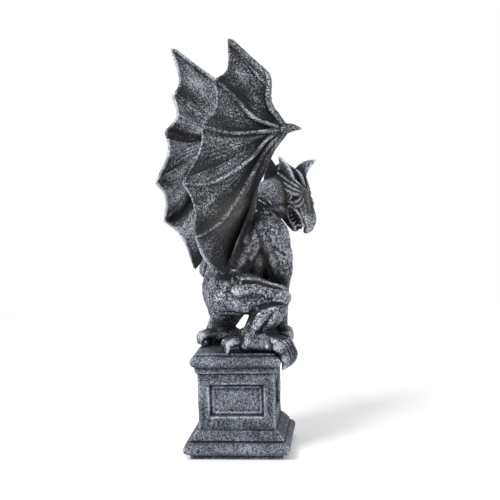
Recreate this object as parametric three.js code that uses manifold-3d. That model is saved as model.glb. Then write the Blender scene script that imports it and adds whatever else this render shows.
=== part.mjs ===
import * as THREE from "three";
import { mergeVertices } from "three/addons/utils/BufferGeometryUtils.js";
import Module from "manifold-3d";

// A winged gargoyle in cast stone resin, crouching on a square panelled plinth.
// Millimetres, +Z up. The origin is the middle of the plinth's underside, and +X is the plinth's front,
// whose edge the figure grips. The figure looks along its own axis u, v is its left and z is up.

// Driving sizes of the plinth: heights are stacked from the ground, half widths are of its square outline
const slabHeight = 3;
const slabHalf = 33.8;
const baseRollHeight = 9.6;
const baseRollHalf = 38.9;
const grooveHeight = 1.5;
const grooveHalf = 34.2;
const slopeHeight = 6;
const slopeFootHalf = 34.9;
const slopeTopHalf = 29.9;
const dieHeight = 42.4;
const dieHalf = 28.5;
const bandHeight = 4.2;
const bandHalf = 30.2;
const capRollHeight = 8.6;
const capRollHalf = 33.4;
const plateHeight = 1.7;
const plateHalf = 29.2;
const rollSteps = 8;

// Driving sizes of the sunk panel on each face of the die
const panelWidth = 39.3;
const panelHeight = 23.3;
const panelDepth = 3.2;
const panelRise = 10.2;
const panelStep = 3;
const fieldDepth = 0.9;

// Driving sizes of the figure
const figureHeight = 228;
const figureYaw = 27;
const figureShift = 2;
const wingThickness = 2.2;
const jointGap = 0.3;

// Where the feet and hands hold the plinth: reach is past the plate's edge, rise and drop are from its
// top, and along is the place beside the edge, from the plinth's middle
const toeReach = 11.5;
const toeDrop = 12;
const toeSpacing = 6;
const toeRadius = 3.7;
const toeLag = 1.6;
const ballInset = 6;
const ballRise = 4;
const nearFootAlong = -20;
const farFootAlong = -3;
const fingerReach = 8.6;
const fingerDrop = 3;
const fingerSpacing = 4.4;
const fingerRadius = 2.6;
const fingerLag = 0.5;
const palmReach = 2.5;
const palmRise = 10;
const palmHeel = 14;
const palmHeelRise = 7.6;
const nearHandAlong = 12;
const farHandAlong = 24.6;

// The figure's own grid: one step is this share of its height, so pose and carving grow with it
const gridSteps = 228;
const grid = figureHeight / gridSteps;

const plinthHeight =
  slabHeight + baseRollHeight + grooveHeight + slopeHeight + dieHeight + bandHeight + capRollHeight + plateHeight;
const yaw = THREE.MathUtils.degToRad(figureYaw);
const figureToWorld = new THREE.Matrix4()
  .makeTranslation(0, figureShift, plinthHeight)
  .multiply(new THREE.Matrix4().makeRotationZ(yaw))
  .multiply(new THREE.Matrix4().makeScale(grid, grid, grid));
const worldToFigure = figureToWorld.clone().invert();

const wasm = await Module();
wasm.setup();

// Solids

// Six times the volume inside a closed triangle list: its sign says which way the faces look
function signedVolume(positions, index) {
  const corner = (i) => new THREE.Vector3().fromArray(positions, index[i] * 3);
  let sum = 0;
  for (let i = 0; i < index.length; i += 3) {
    sum += corner(i).dot(corner(i + 1).cross(corner(i + 2)));
  }
  return sum;
}

// A closed geometry as a solid with its faces outwards
function solidOf(geometry) {
  const bare = geometry.clone();
  bare.deleteAttribute("normal");
  bare.deleteAttribute("uv");
  const merged = mergeVertices(bare, 1e-4);
  const vertProperties = new Float32Array(merged.attributes.position.array);
  const triVerts = new Uint32Array(merged.index.array);
  if (signedVolume(vertProperties, triVerts) < 0) {
    for (let i = 0; i < triVerts.length; i += 3) {
      [triVerts[i + 1], triVerts[i + 2]] = [triVerts[i + 2], triVerts[i + 1]];
    }
  }
  return new wasm.Manifold(new wasm.Mesh({ numProp: 3, vertProperties, triVerts }));
}

function geometryOf(solid) {
  const mesh = solid.getMesh();
  const geometry = new THREE.BufferGeometry();
  geometry.setAttribute("position", new THREE.BufferAttribute(new Float32Array(mesh.vertProperties), 3));
  geometry.setIndex(new THREE.BufferAttribute(new Uint32Array(mesh.triVerts), 1));
  return geometry;
}

function joined(geometries) {
  return geometries.map(solidOf).reduce((whole, next) => whole.add(next));
}

function largestBody(solid) {
  return solid.decompose().reduce((best, next) => (next.volume() > best.volume() ? next : best));
}

// Rings of equal count become one closed skin, with a fan on each end
function skinOf(rings) {
  const sides = rings[0].length;
  const positions = rings.flat().flatMap((p) => p.toArray());
  const index = [];
  for (let r = 0; r + 1 < rings.length; r += 1) {
    for (let s = 0; s < sides; s += 1) {
      const a = r * sides + s;
      const b = r * sides + ((s + 1) % sides);
      index.push(a, b, a + sides, b, b + sides, a + sides);
    }
  }
  for (const [ring, start, turn] of [
    [rings[0], 0, 1],
    [rings.at(-1), (rings.length - 1) * sides, -1],
  ]) {
    const middle = ring.reduce((sum, p) => sum.add(p), new THREE.Vector3()).divideScalar(sides);
    const hub = positions.length / 3;
    positions.push(...middle.toArray());
    for (let s = 0; s < sides; s += 1) {
      const a = start + s;
      const b = start + ((s + 1) % sides);
      index.push(hub, ...(turn > 0 ? [b, a] : [a, b]));
    }
  }
  const geometry = new THREE.BufferGeometry();
  geometry.setAttribute("position", new THREE.Float32BufferAttribute(positions, 3));
  geometry.setIndex(index);
  return geometry;
}

const wideDome = [35, 68];
const smallDome = [52];
const bluntEnd = [];

// An oval section carried along a smooth path. A station is [u, v, z, half width, half depth], the half
// width lies along the given direction, and each end is closed by a dome of that share of its radius,
// whose rings stand at the given angles.
function limb(
  stations,
  { sides = 10, steps = 2, across = [0, 1, 0], domes = [0.8, 0.8], angles = wideDome, grow = 0 } = {},
) {
  const path = new THREE.CatmullRomCurve3(stations.map(([u, v, z]) => new THREE.Vector3(u, v, z)));
  const girth = new THREE.CatmullRomCurve3(
    stations.map(([, , , width, depth = width]) => new THREE.Vector3(width + grow, depth + grow, 0)),
  );
  const ring = (centre, tangent, width, depth) => {
    const side = new THREE.Vector3(...across);
    side.addScaledVector(tangent, -side.dot(tangent)).normalize();
    const front = tangent.clone().cross(side);
    return Array.from({ length: sides }, (_, s) => {
      const angle = (2 * Math.PI * s) / sides;
      return centre
        .clone()
        .addScaledVector(side, width * Math.cos(angle))
        .addScaledVector(front, depth * Math.sin(angle));
    });
  };
  const count = (stations.length - 1) * steps;
  const rings = [];
  for (let i = 0; i <= count; i += 1) {
    const size = girth.getPoint(i / count);
    rings.push(ring(path.getPoint(i / count), path.getTangent(i / count), size.x, size.y));
  }
  const dome = (t, way, share) => {
    const size = girth.getPoint(t);
    const tangent = path.getTangent(t);
    const reach = way * share * Math.min(size.x, size.y);
    return angles.map((degrees) => {
      const angle = THREE.MathUtils.degToRad(degrees);
      const centre = path.getPoint(t).addScaledVector(tangent, reach * Math.sin(angle));
      return ring(centre, tangent, size.x * Math.cos(angle), size.y * Math.cos(angle));
    });
  };
  const foot = domes[0] > 0 ? dome(0, -1, domes[0]).reverse() : [];
  const tip = domes[1] > 0 ? dome(1, 1, domes[1]) : [];
  return skinOf([...foot, ...rings, ...tip]);
}

// A place on the plinth, in figure steps
function onPlinth(x, y, z) {
  return new THREE.Vector3(x, y, z).applyMatrix4(worldToFigure).toArray();
}

// Plinth

function roll(half, fromZ, height) {
  const radius = height / 2;
  return Array.from({ length: rollSteps + 1 }, (_, i) => {
    const angle = -Math.PI / 2 + (Math.PI * i) / rollSteps;
    return [half - radius + radius * Math.cos(angle), fromZ + radius + radius * Math.sin(angle)];
  });
}

// The moulding's outline from the ground up, as [half width, height]
function plinthProfile() {
  const baseRollFoot = slabHeight;
  const grooveFoot = baseRollFoot + baseRollHeight;
  const slopeFoot = grooveFoot + grooveHeight;
  const dieFoot = slopeFoot + slopeHeight;
  const bandFoot = dieFoot + dieHeight;
  const capRollFoot = bandFoot + bandHeight;
  const plateFoot = capRollFoot + capRollHeight;
  return [
    [slabHalf, 0],
    [slabHalf, slabHeight],
    ...roll(baseRollHalf, baseRollFoot, baseRollHeight),
    [grooveHalf, grooveFoot],
    [grooveHalf, slopeFoot],
    [slopeFootHalf, slopeFoot],
    [slopeTopHalf, dieFoot],
    [dieHalf, dieFoot],
    [dieHalf, bandFoot],
    [bandHalf, bandFoot],
    [bandHalf, capRollFoot],
    ...roll(capRollHalf, capRollFoot, capRollHeight),
    [plateHalf, plateFoot],
    [plateHalf, plinthHeight],
  ];
}

function squareRing(half, z) {
  return [
    [1, 1],
    [-1, 1],
    [-1, -1],
    [1, -1],
  ].map(([x, y]) => new THREE.Vector3(x * half, y * half, z));
}

// The sunk panel of one face: a wide recess with a deeper field inside a step
function panelCut(turn) {
  const middle = slabHeight + baseRollHeight + grooveHeight + slopeHeight + panelRise + panelHeight / 2;
  const overshoot = 1;
  const wide = new THREE.BoxGeometry(panelDepth + overshoot, panelWidth, panelHeight);
  wide.translate(dieHalf + (overshoot - panelDepth) / 2, 0, middle);
  const fullDepth = panelDepth + fieldDepth;
  const field = new THREE.BoxGeometry(fullDepth, panelWidth - 2 * panelStep, panelHeight - 2 * panelStep);
  field.translate(dieHalf - fullDepth / 2, 0, middle);
  return joined([wide.rotateZ(turn), field.rotateZ(turn)]);
}

function plinthSolid() {
  let body = solidOf(skinOf(plinthProfile().map(([half, z]) => squareRing(half, z))));
  for (let face = 0; face < 4; face += 1) {
    body = body.subtract(panelCut((face * Math.PI) / 2));
  }
  return body;
}

// The space that the plinth's top takes out of the figure, with the joint's gap all round
function plinthRoom() {
  const shape = plinthProfile().map(([half, z]) => squareRing(half + jointGap, z));
  const top = squareRing(plateHalf + jointGap, plinthHeight + jointGap);
  return solidOf(skinOf([...shape, top]));
}

// Torso, neck and legs

const torso = [
  [-13, 0, 28, 12, 11],
  [-11.5, 0, 43, 18, 16.5],
  [-5.5, 0, 60, 18, 17],
  [3.5, -1, 76, 19, 17.5],
  [11, -1, 91, 19, 15.5],
  [15, -1, 102, 12, 10.5],
];

const chest = [
  [8, 0, 46, 13, 13],
  [15, -1.5, 60, 15.5, 14],
  [19, -2, 76, 16, 13.5],
  [20, -2, 92, 13, 10],
];

// The broad muscle behind each armpit, from the shoulder blade down to the flank
const flank = [
  [6, 14.5, 98, 9, 9],
  [-1, 16, 84, 8.5, 10],
  [-9, 17, 69, 8, 10],
  [-16, 18, 56, 8, 9],
];

const neck = [
  [9, -1, 97, 13, 12],
  [16, -3, 106, 12.5, 12],
  [24, -7, 112, 12, 13],
  [33, -9, 115, 11.5, 14],
  [39, -10.5, 115, 10.5, 12],
];

// A leg is thigh, shin and foot. The knee and ankle differ from side to side, because the near foot
// stands forward and the far one back.
const legs = {
  right: { side: -1, hip: [-16.5, -15.5, 44.5], knee: [20.5, -31.5, 39.5], ankle: [-0.5, -24, 10] },
  left: { side: 1, hip: [-5, 15, 44.5], knee: [14, 31, 39.5], ankle: [-12, 18.5, 9] },
};

function between(from, to, share) {
  return from.map((value, i) => value + (to[i] - value) * share);
}

function mirrored(stations) {
  return stations.map(([u, v, ...rest]) => [u, -v, ...rest]);
}

function legParts({ side, hip, knee, ankle }, grow) {
  const thigh = [
    [...hip, 17, 16.8],
    [...between(hip, knee, 0.34), 16.2, 14.6],
    [...between(hip, knee, 0.72), 12, 11.4],
    [...knee, 9.4, 9.2],
  ];
  const calf = between(knee, ankle, 0.4);
  const shin = [
    [...between(knee, ankle, 0.1), 10, 9.2],
    [calf[0] - 0.5, calf[1] + side * 0.5, calf[2], 13, 10],
    [...between(knee, ankle, 0.78), 10.5, 8],
    [...ankle, 8.5, 6.8],
  ];
  return [
    limb(thigh, { across: [0, 0.3, 1], grow }),
    limb(shin, { steps: 1, across: [1, 0, 0.5], grow }),
  ];
}

// Toes that lie on the plate, bend at a knuckle just past its edge and drop a claw over the roll, each
// reaching a little further than the one before.
// The edge is the one across the given direction, and along runs beside it.
function grippingToes({ root, edge, middle, count }, grow) {
  const alongX = edge === "side";
  const parts = [];
  for (let i = 0; i < count; i += 1) {
    const offset = (i - (count - 1) / 2) * toeSpacing;
    const along = middle + offset;
    const out = plateHalf + toeReach - (count - 1 - i) * toeLag;
    const place = (back, rise) => {
      const reach = out - back * toeReach;
      return alongX ? onPlinth(along, reach, plinthHeight + rise) : onPlinth(reach, along, plinthHeight + rise);
    };
    const knuckle = place(0.34, toeRadius * 1.2);
    const start = between(root, knuckle, 0.2);
    const radius = toeRadius / grid;
    const toe = [
      [start[0], start[1], start[2], radius * 1.1],
      [...between(start, knuckle, 0.6), radius],
      [...knuckle, radius * 1.15],
      [...place(0, -0.14 * toeDrop), radius * 0.9],
      [...place(-0.04, -0.6 * toeDrop), radius * 0.72],
      [...place(0.12, -toeDrop), radius * 0.25],
    ];
    const across = [-Math.sin(yaw), Math.cos(yaw), 0];
    parts.push(limb(toe, { sides: 5, steps: 1, across, domes: [0.6, 0.7], angles: smallDome, grow }));
  }
  return parts;
}

// Short hind claws behind the heel, hooked down onto the plate
function heelClaws(heel, back, grow) {
  return [-1, 0, 1].map((i) => {
    const swing = i * 4.2;
    const line = [
      [heel[0], heel[1] + swing * 0.3, heel[2], 4.2],
      [heel[0] - back * 0.55, heel[1] + swing * 0.8, 8.2, 3.4],
      [heel[0] - back * 0.86, heel[1] + swing, 7, 3],
      [heel[0] - back, heel[1] + swing * 1.05, 1.2, 1],
    ];
    return limb(line, { sides: 5, steps: 1, domes: [0.6, 0.5], angles: smallDome, grow });
  });
}

function footParts(grow) {
  const right = legs.right.ankle;
  const left = legs.left.ankle;
  const rightBall = onPlinth(plateHalf - ballInset, nearFootAlong, plinthHeight + ballRise);
  const leftBall = onPlinth(farFootAlong, plateHalf - ballInset, plinthHeight + ballRise);
  const sole = (ankle, ball) => [
    [ankle[0] - 4, ankle[1], 6, 7, 6],
    [...between(ankle, ball, 0.45).slice(0, 2), 7.4, 8, 6.8],
    [...ball, 9.6, 4.6],
  ];
  return [
    limb(sole(right, rightBall), { sides: 8, steps: 1, grow }),
    limb(sole(left, leftBall), { sides: 8, steps: 1, grow }),
    ...grippingToes({ root: rightBall, edge: "front", middle: nearFootAlong, count: 4 }, grow),
    ...grippingToes({ root: leftBall, edge: "side", middle: farFootAlong, count: 4 }, grow),
    ...heelClaws([right[0] - 3, right[1] + 2.5, 8], 16, grow),
    ...heelClaws([left[0] - 2, left[1] - 2, 8], 12, grow),
  ];
}

// Arms: from the shoulder down between the knees, with the hands side by side on the front edge
const arms = {
  right: [
    [14.5, -16, 93, 10.5, 11],
    [21.5, -20.5, 86, 11, 10.8],
    [25, -23, 71, 8.4, 8.6],
    [27, -22, 58, 7.6, 8],
    [27.5, -19, 48, 6, 6.2],
    [30, -12, 32, 5.6, 5.4],
  ],
  left: [
    [13.5, 13.5, 93, 10.5, 11],
    [18.5, 18, 86, 11, 10.6],
    [23, 21, 71, 8.4, 8.4],
    [26, 20.5, 58, 7.6, 8],
    [28, 18, 48, 6, 6.2],
    [30, 12, 32, 5.6, 5.4],
  ],
};

function armParts(arm, middle, count, grow) {
  const palm = onPlinth(plateHalf + palmReach, middle, plinthHeight + palmRise);
  const upper = [...arm, [...between(arm.at(-1), palm, 0.8).slice(0, 3), 4.8, 4.6], [...palm, 5.6, 4.4]];
  const fingers = [];
  for (let i = 0; i < count; i += 1) {
    const along = middle + (i - (count - 1) / 2) * fingerSpacing;
    const root = along * 0.7 + middle * 0.3;
    const radius = fingerRadius / grid;
    const reach = plateHalf + fingerReach - Math.abs(i - 1.2) * fingerLag;
    const finger = [
      [...onPlinth(plateHalf + palmReach, root, plinthHeight + palmRise * 0.9), radius],
      [...onPlinth(reach - fingerReach * 0.16, along, plinthHeight + palmRise * 0.8), radius],
      [...onPlinth(reach, along, plinthHeight + palmRise * 0.25), radius * 0.8],
      [...onPlinth(reach - fingerReach * 0.23, along, plinthHeight - fingerDrop), radius * 0.27],
    ];
    fingers.push(limb(finger, { sides: 5, steps: 1, domes: [0.6, 0.6], angles: smallDome, grow }));
  }
  const heel = [
    [...onPlinth(plateHalf + palmReach - palmHeel, middle - 6, plinthHeight + palmHeelRise), 6.4, 6],
    [...onPlinth(plateHalf + palmReach - palmHeel * 0.4, middle - 2, plinthHeight + palmHeelRise), 6.2, 6],
    [...palm, 5, 4],
  ];
  return [limb(upper, { sides: 8, steps: 1, grow }), limb(heel, { sides: 6, steps: 1, grow }), ...fingers];
}

// Head, in its own axes: along the muzzle, up through the brow, and to its left
const headCentre = [41.3, -10, 121.5];
const headTurn = -63;
const headDrop = 62;

function headPlace([along, rise, aside]) {
  const turn = THREE.MathUtils.degToRad(headTurn);
  const drop = THREE.MathUtils.degToRad(headDrop);
  const facing = new THREE.Vector3(Math.cos(turn), Math.sin(turn), 0);
  const left = new THREE.Vector3(-Math.sin(turn), Math.cos(turn), 0);
  const up = new THREE.Vector3(0, 0, 1);
  return new THREE.Vector3(...headCentre)
    .addScaledVector(facing, along * Math.cos(drop) + rise * Math.sin(drop))
    .addScaledVector(up, rise * Math.cos(drop) - along * Math.sin(drop))
    .addScaledVector(left, aside)
    .toArray();
}

function headAcross(direction = [0, 0, 1]) {
  const from = new THREE.Vector3(...headPlace([0, 0, 0]));
  return new THREE.Vector3(...headPlace(direction)).sub(from).toArray();
}

// A head form: stations are [along, rise, aside, half width, half height] in the head's axes
function headForm(stations, options = {}) {
  const placed = stations.map(([along, rise, aside, width, height]) => [
    ...headPlace([along, rise, aside]),
    width,
    height,
  ]);
  return limb(placed, { across: headAcross(), ...options });
}

function headParts(grow) {
  const skull = [
    [-13, -3.5, 0, 7.5, 7.5],
    [-6, -2.5, 0, 11, 10.8],
    [3, -3.6, 0, 11.6, 11.6],
    [11, -2.4, 0, 10, 10],
    [18, 0.2, 0, 8.6, 6.8],
    [26, 0.8, 0, 7.6, 5],
    [31.5, 0.6, 0, 6.8, 4.6],
    [36, -2.4, 0, 4.6, 3.8],
    [37.4, -6, 0, 2.4, 2],
  ];
  const jaw = [
    [-4, -8, 0, 10.5, 9],
    [7, -11, 0, 10.4, 8.6],
    [17, -12.8, 0, 8.6, 6.4],
    [25, -13.2, 0, 6.4, 4.4],
    [31.5, -13, 0, 3.8, 2.8],
  ];
  const crest = [
    [-12, 4, 0, 1.4, 2],
    [-2, 9.4, 0, 1.8, 2.4],
    [9, 7.6, 0, 2.2, 2],
  ];
  const parts = [
    headForm(skull, { sides: 12, steps: 1, grow, domes: [0.8, 0.6] }),
    headForm(jaw, { sides: 8, steps: 1, grow }),
    headForm(crest, { sides: 6, steps: 1, angles: smallDome, grow }),
  ];
  for (const side of [-1, 1]) {
    const lean = side < 0 ? -3.6 : 3.6;
    const ear = [
      [-4.6, 3.4, side * 7, 9.4, 2.8],
      [-9, 9 + lean * 0.3, side * 10.6, 6.6, 2.2],
      [-13.8 + lean, 14.2 + lean, side * 15, 1.4, 1],
    ];
    const brow = [
      [2, 5.2, side * 9.6, 2, 2.2],
      [9, 7.8, side * 8.8, 2.4, 2.8],
      [14.6, 8.6, side * 6.4, 2.8, 2.8],
    ];
    const eye = [
      [8.4, 1.6, side * 8.2, 2.6, 2.4],
      [10.4, 2.6, side * 8.2, 2.6, 2.4],
    ];
    const nostril = [
      [28.5, 3.8, side * 3.6, 2.2, 1.8],
      [32.4, 3, side * 3.4, 2.4, 2],
    ];
    const cheek = [
      [13, -1.5, side * 7.4, 2.4, 1.6],
      [19, 0.5, side * 6.4, 2, 1.6],
      [23, 2.5, side * 5.4, 1.4, 1.2],
    ];
    parts.push(headForm(ear, { sides: 7, steps: 1, angles: smallDome, grow, across: headAcross([0.8, 0.55, 0]) }));
    for (const form of [brow, eye, nostril, cheek]) {
      parts.push(headForm(form, { sides: 5, steps: 1, angles: smallDome, grow }));
    }
    const tooth = { sides: 4, steps: 1, angles: bluntEnd, grow };
    for (let i = 0; i < 2; i += 1) {
      const along = 26 + i * 6.2;
      const length = i === 1 ? 6.6 : 3.8;
      const aside = side * (5.4 - i * 1.1);
      const top = [along, -1 - i, aside, 1.3, 1.3];
      const tip = [along + 0.6, -1 - i - length, aside, 0.45, 0.45];
      parts.push(headForm([top, tip], tooth));
      const low = [along - 1.6, -9.6, aside * 0.9, 1.1, 1.1];
      const high = [along - 1.8, -9.6 + length * 0.8, aside * 0.9, 0.45, 0.45];
      parts.push(headForm([low, high], tooth));
    }
  }
  return parts;
}

// The tall fin that stands on the nape behind the skull
function napeFin(grow) {
  const fin = [
    [27, -6.5, 119, 7, 3.2],
    [27, -5, 130, 6.4, 2.2],
    [25.5, -3.6, 141.5, 1.8, 1.2],
  ];
  return limb(fin, { sides: 8, across: [1, 0, 0], domes: [0.2, 0.6], grow });
}

function bodyGeometries(grow) {
  return [
    limb(torso, { sides: 14, steps: 1, grow }),
    limb(chest, { steps: 1, grow }),
    limb(flank, { steps: 1, grow }),
    limb(mirrored(flank), { steps: 1, grow }),
    limb(neck, { steps: 1, grow }),
    ...legParts(legs.right, grow),
    ...legParts(legs.left, grow),
    ...footParts(grow),
    ...armParts(arms.right, nearHandAlong, 4, grow),
    ...armParts(arms.left, farHandAlong, 3, grow),
    ...headParts(grow),
    napeFin(grow),
  ];
}

function inWorld(geometries) {
  return geometries.map((geometry) => geometry.applyMatrix4(figureToWorld));
}

// Wings: five fingers and the arm fan out from the wrist, and a thin web hangs between them.
// The tables are the right wing's; the left is its mirror image with its tips at their own heights and
// its leading finger bent further forwards.
const wrist = [17.6, -56, 160.8];
const fingerLines = [
  [wrist, [8.7, -57.8, 171.1], [3, -59.6, 180.5], [2.3, -61.4, 196.2], [-9.6, -63.2, 206], [-26.4, -65, 220]],
  [wrist, [5.5, -56.5, 164.4], [-6.7, -56.2, 168.8], [-18.8, -54.3, 182.6], [-31, -50.5, 195]],
  [wrist, [-0.4, -56.2, 159.3], [-21.1, -52.6, 158.6], [-39.6, -44.5, 163.5]],
  [wrist, [4.4, -54.6, 154.8], [-5.4, -52.1, 143.2], [-22.6, -47.8, 130.5], [-36.9, -41.7, 124], [-51.6, -34.4, 124.7]],
  [wrist, [4.7, -53.4, 148.6], [-9.6, -49, 124.6], [-25.2, -44.1, 100], [-37.8, -41, 90.5], [-44.4, -38, 87.2]],
  [wrist, [5.4, -47.6, 142.4], [0.6, -37.2, 124], [1.2, -24, 101], [-8, -24, 78], [-22.6, -33, 59.3]],
];
const leftTipRise = [9, -4, 0, 0, 8, -3];
const leftLeadReach = 10;
const fingerRadii = [1.4, 2.2, 2.1, 2, 1.9, 1.4];
const fingerTaper = 0.42;
const leadRadius = 2.6;
const leadTaper = 0.15;
const leadSpan = [0, 0.97];
const armRadius = 3;
const armSpan = [0.03, 0.62];
const armSwell = 0.35;
const boneSteps = 5;
const edgeHollow = { right: [7.5, 6.5, 6, 5.5, -4], left: [7.5, 6.5, 6, 5.5, 6] };
const webSag = [3.2, 3, 3.4, 3, 2];
const webStart = 0.06;
const acrossShares = [0, 0.1, 0.37, 0.63, 0.9];
const alongSteps = 5;

function fingerCurve(k, side) {
  const rise = side > 0 ? leftTipRise[k] : 0;
  const reach = side > 0 && k === 0 ? leftLeadReach : 0;
  const line = fingerLines[k];
  return new THREE.CatmullRomCurve3(
    line.map(([u, v, z], i) => {
      const share = i / (line.length - 1);
      return new THREE.Vector3(u + reach * Math.sin(Math.PI * share), -side * v, z + rise * share ** 2);
    }),
  );
}

// One sheet between all the fingers: across runs over the fingers and along runs from wrist to edge.
// Between two fingers the sheet sags and its free edge is drawn back in a hollow.
function webPoint(curves, across, along, side) {
  const k = Math.min(Math.floor(across), curves.length - 2);
  const share = across - k;
  const bow = Math.sin(Math.PI * share);
  const edge = curves[k].getPoint(1).lerp(curves[k + 1].getPoint(1), share);
  const root = new THREE.Vector3(...wrist).setY(-side * wrist[1]);
  const hollow = side > 0 ? edgeHollow.left[k] : edgeHollow.right[k];
  const pull = (hollow * bow * along ** 3) / Math.max(edge.distanceTo(root), 1);
  const point = curves[k].getPoint(along).lerp(curves[k + 1].getPoint(along), share);
  point.lerp(root, pull);
  point.y += -side * webSag[k] * bow * Math.sin(Math.PI * Math.min(along, 0.75) * 0.9);
  return point;
}

// The sheet is as thick as a bone along each finger and thin beside it. Its two faces are joined by a
// wall round the whole border.
function webGeometry(side, curves, grow) {
  const columns = curves.slice(1).flatMap((_, k) => acrossShares.map((share) => k + share));
  columns.push(curves.length - 1);
  const rows = Array.from({ length: alongSteps + 1 }, (_, a) => webStart + ((1 - webStart) * a) / alongSteps);
  const sheet = columns.map((across) => rows.map((along) => webPoint(curves, across, along, side)));
  const thickness = (across, along) => {
    const bone = fingerRadii[across] ? fingerRadii[across] * (1 - fingerTaper * along) : 0;
    return Math.max(bone, wingThickness / grid / 2) + grow;
  };
  const faceOf = (c, a) => {
    const u = sheet[Math.min(c + 1, columns.length - 1)][a].clone().sub(sheet[Math.max(c - 1, 0)][a]);
    const v = sheet[c][Math.min(a + 1, alongSteps)].clone().sub(sheet[c][Math.max(a - 1, 0)]);
    return u.cross(v).normalize();
  };
  const faces = [1, -1].map((way) =>
    sheet.map((line, c) =>
      line.map((p, a) => p.clone().addScaledVector(faceOf(c, a), way * thickness(columns[c], rows[a]))),
    ),
  );
  return closedSheet(faces[0], faces[1]);
}

// Two grids of points, front and back, become one closed skin
function closedSheet(front, back) {
  const wide = front.length;
  const long = front[0].length;
  const count = wide * long;
  const at = (c, a) => c * long + a;
  const index = [];
  const quad = (p, q, r, s) => index.push(p, q, r, p, r, s);
  for (let c = 0; c + 1 < wide; c += 1) {
    for (let a = 0; a + 1 < long; a += 1) {
      quad(at(c, a), at(c + 1, a), at(c + 1, a + 1), at(c, a + 1));
      quad(count + at(c, a), count + at(c, a + 1), count + at(c + 1, a + 1), count + at(c + 1, a));
    }
  }
  const border = [
    ...Array.from({ length: wide - 1 }, (_, c) => at(c, 0)),
    ...Array.from({ length: long - 1 }, (_, a) => at(wide - 1, a)),
    ...Array.from({ length: wide - 1 }, (_, c) => at(wide - 1 - c, long - 1)),
    ...Array.from({ length: long - 1 }, (_, a) => at(0, long - 1 - a)),
  ];
  border.forEach((p, i) => {
    const q = border[(i + 1) % border.length];
    quad(p, count + p, count + q, q);
  });
  const geometry = new THREE.BufferGeometry();
  const positions = [...front, ...back].flat().flatMap((p) => p.toArray());
  geometry.setAttribute("position", new THREE.Float32BufferAttribute(positions, 3));
  geometry.setIndex(index);
  return geometry;
}

// A round bone along a finger line, between two shares of it
function boneGeometry(curve, radius, [from, to], taper, grow) {
  const stations = Array.from({ length: boneSteps + 1 }, (_, i) => {
    const t = from + (i / boneSteps) * (to - from);
    return [...curve.getPoint(t).toArray(), radius * (1 - taper * t)];
  });
  return limb(stations, { sides: 6, steps: 1, across: [1, 0, 0.2], angles: smallDome, grow });
}

function wingGeometries(side, grow = 0) {
  const curves = fingerLines.map((_, k) => fingerCurve(k, side));
  const [u, v, z] = wrist;
  const thumb = [
    [u - 3.4, -side * v, z + 0.3, 4.1],
    [u + 4.5, -side * v, z + 0.8, 2.9],
    [u + 11.5, -side * v, z + 0.2, 0.8],
  ];
  return [
    webGeometry(side, curves, grow),
    boneGeometry(curves[0], leadRadius, leadSpan, leadTaper, grow),
    boneGeometry(curves.at(-1), armRadius, armSpan, -armSwell, grow),
    limb(thumb, { sides: 7, domes: [0.8, 0.5], angles: smallDome, grow }),
  ];
}

// Assembly

const plinth = plinthSolid();
const room = plinthRoom();
const gap = jointGap / grid;
const body = largestBody(joined(inWorld(bodyGeometries(0))).subtract(room));
const bodyRoom = joined(inWorld(bodyGeometries(gap)));
const wing = (side) => largestBody(joined(inWorld(wingGeometries(side))).subtract(bodyRoom));

function stoneResin(color, roughness) {
  return new THREE.MeshStandardMaterial({ color, roughness, metalness: 0 });
}

function named(name, solid, material) {
  const mesh = new THREE.Mesh(geometryOf(solid), material);
  mesh.name = name;
  return mesh;
}

const gargoyle = new THREE.Group();
gargoyle.add(
  named("plinth", plinth, stoneResin(0x54585f, 0.72)),
  named("gargoyle_body", body, stoneResin(0x4b4e54, 0.68)),
  named("wing_right", wing(-1), stoneResin(0x3c3e43, 0.66)),
  named("wing_left", wing(1), stoneResin(0x3c3e43, 0.66)),
);

export default gargoyle;
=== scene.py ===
import math

import bpy
import numpy as np
from mathutils import Matrix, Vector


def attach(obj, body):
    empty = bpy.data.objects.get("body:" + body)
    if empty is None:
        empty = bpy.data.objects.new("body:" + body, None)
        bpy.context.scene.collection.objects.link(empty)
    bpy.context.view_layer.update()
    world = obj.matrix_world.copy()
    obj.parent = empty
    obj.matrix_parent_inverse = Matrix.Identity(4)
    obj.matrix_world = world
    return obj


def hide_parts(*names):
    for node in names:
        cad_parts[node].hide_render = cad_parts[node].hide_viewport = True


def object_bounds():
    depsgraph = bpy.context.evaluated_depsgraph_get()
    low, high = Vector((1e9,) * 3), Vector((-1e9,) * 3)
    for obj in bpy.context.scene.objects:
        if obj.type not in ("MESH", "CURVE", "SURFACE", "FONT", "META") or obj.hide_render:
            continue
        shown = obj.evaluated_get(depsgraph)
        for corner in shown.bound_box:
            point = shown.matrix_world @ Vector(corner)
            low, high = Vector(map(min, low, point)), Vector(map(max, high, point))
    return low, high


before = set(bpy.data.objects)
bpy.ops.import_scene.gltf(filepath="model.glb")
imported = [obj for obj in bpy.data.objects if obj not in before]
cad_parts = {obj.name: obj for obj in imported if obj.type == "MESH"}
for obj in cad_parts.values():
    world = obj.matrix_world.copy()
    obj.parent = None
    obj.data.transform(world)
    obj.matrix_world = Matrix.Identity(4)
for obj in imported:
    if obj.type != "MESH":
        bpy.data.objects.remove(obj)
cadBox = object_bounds()

# The figure's own axes: u is the way it faces, v its left, z up from the plinth's top. Shapes are worked
# out in millimetres and written to the meshes in metres.
metresPerMm = 0.001
figureYaw = math.radians(27)
figureOrigin = np.array([0.0, 2.0, 77.0])
plinthTop = 77.0
plateHalf = 29.2
figureAxes = np.array([
    [math.cos(figureYaw), math.sin(figureYaw), 0.0],
    [-math.sin(figureYaw), math.cos(figureYaw), 0.0],
    [0.0, 0.0, 1.0],
])


def toWorld(points):
    # figure coordinates times the figure's axes, plus its origin
    return np.asarray(points, float) @ figureAxes + figureOrigin


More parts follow.
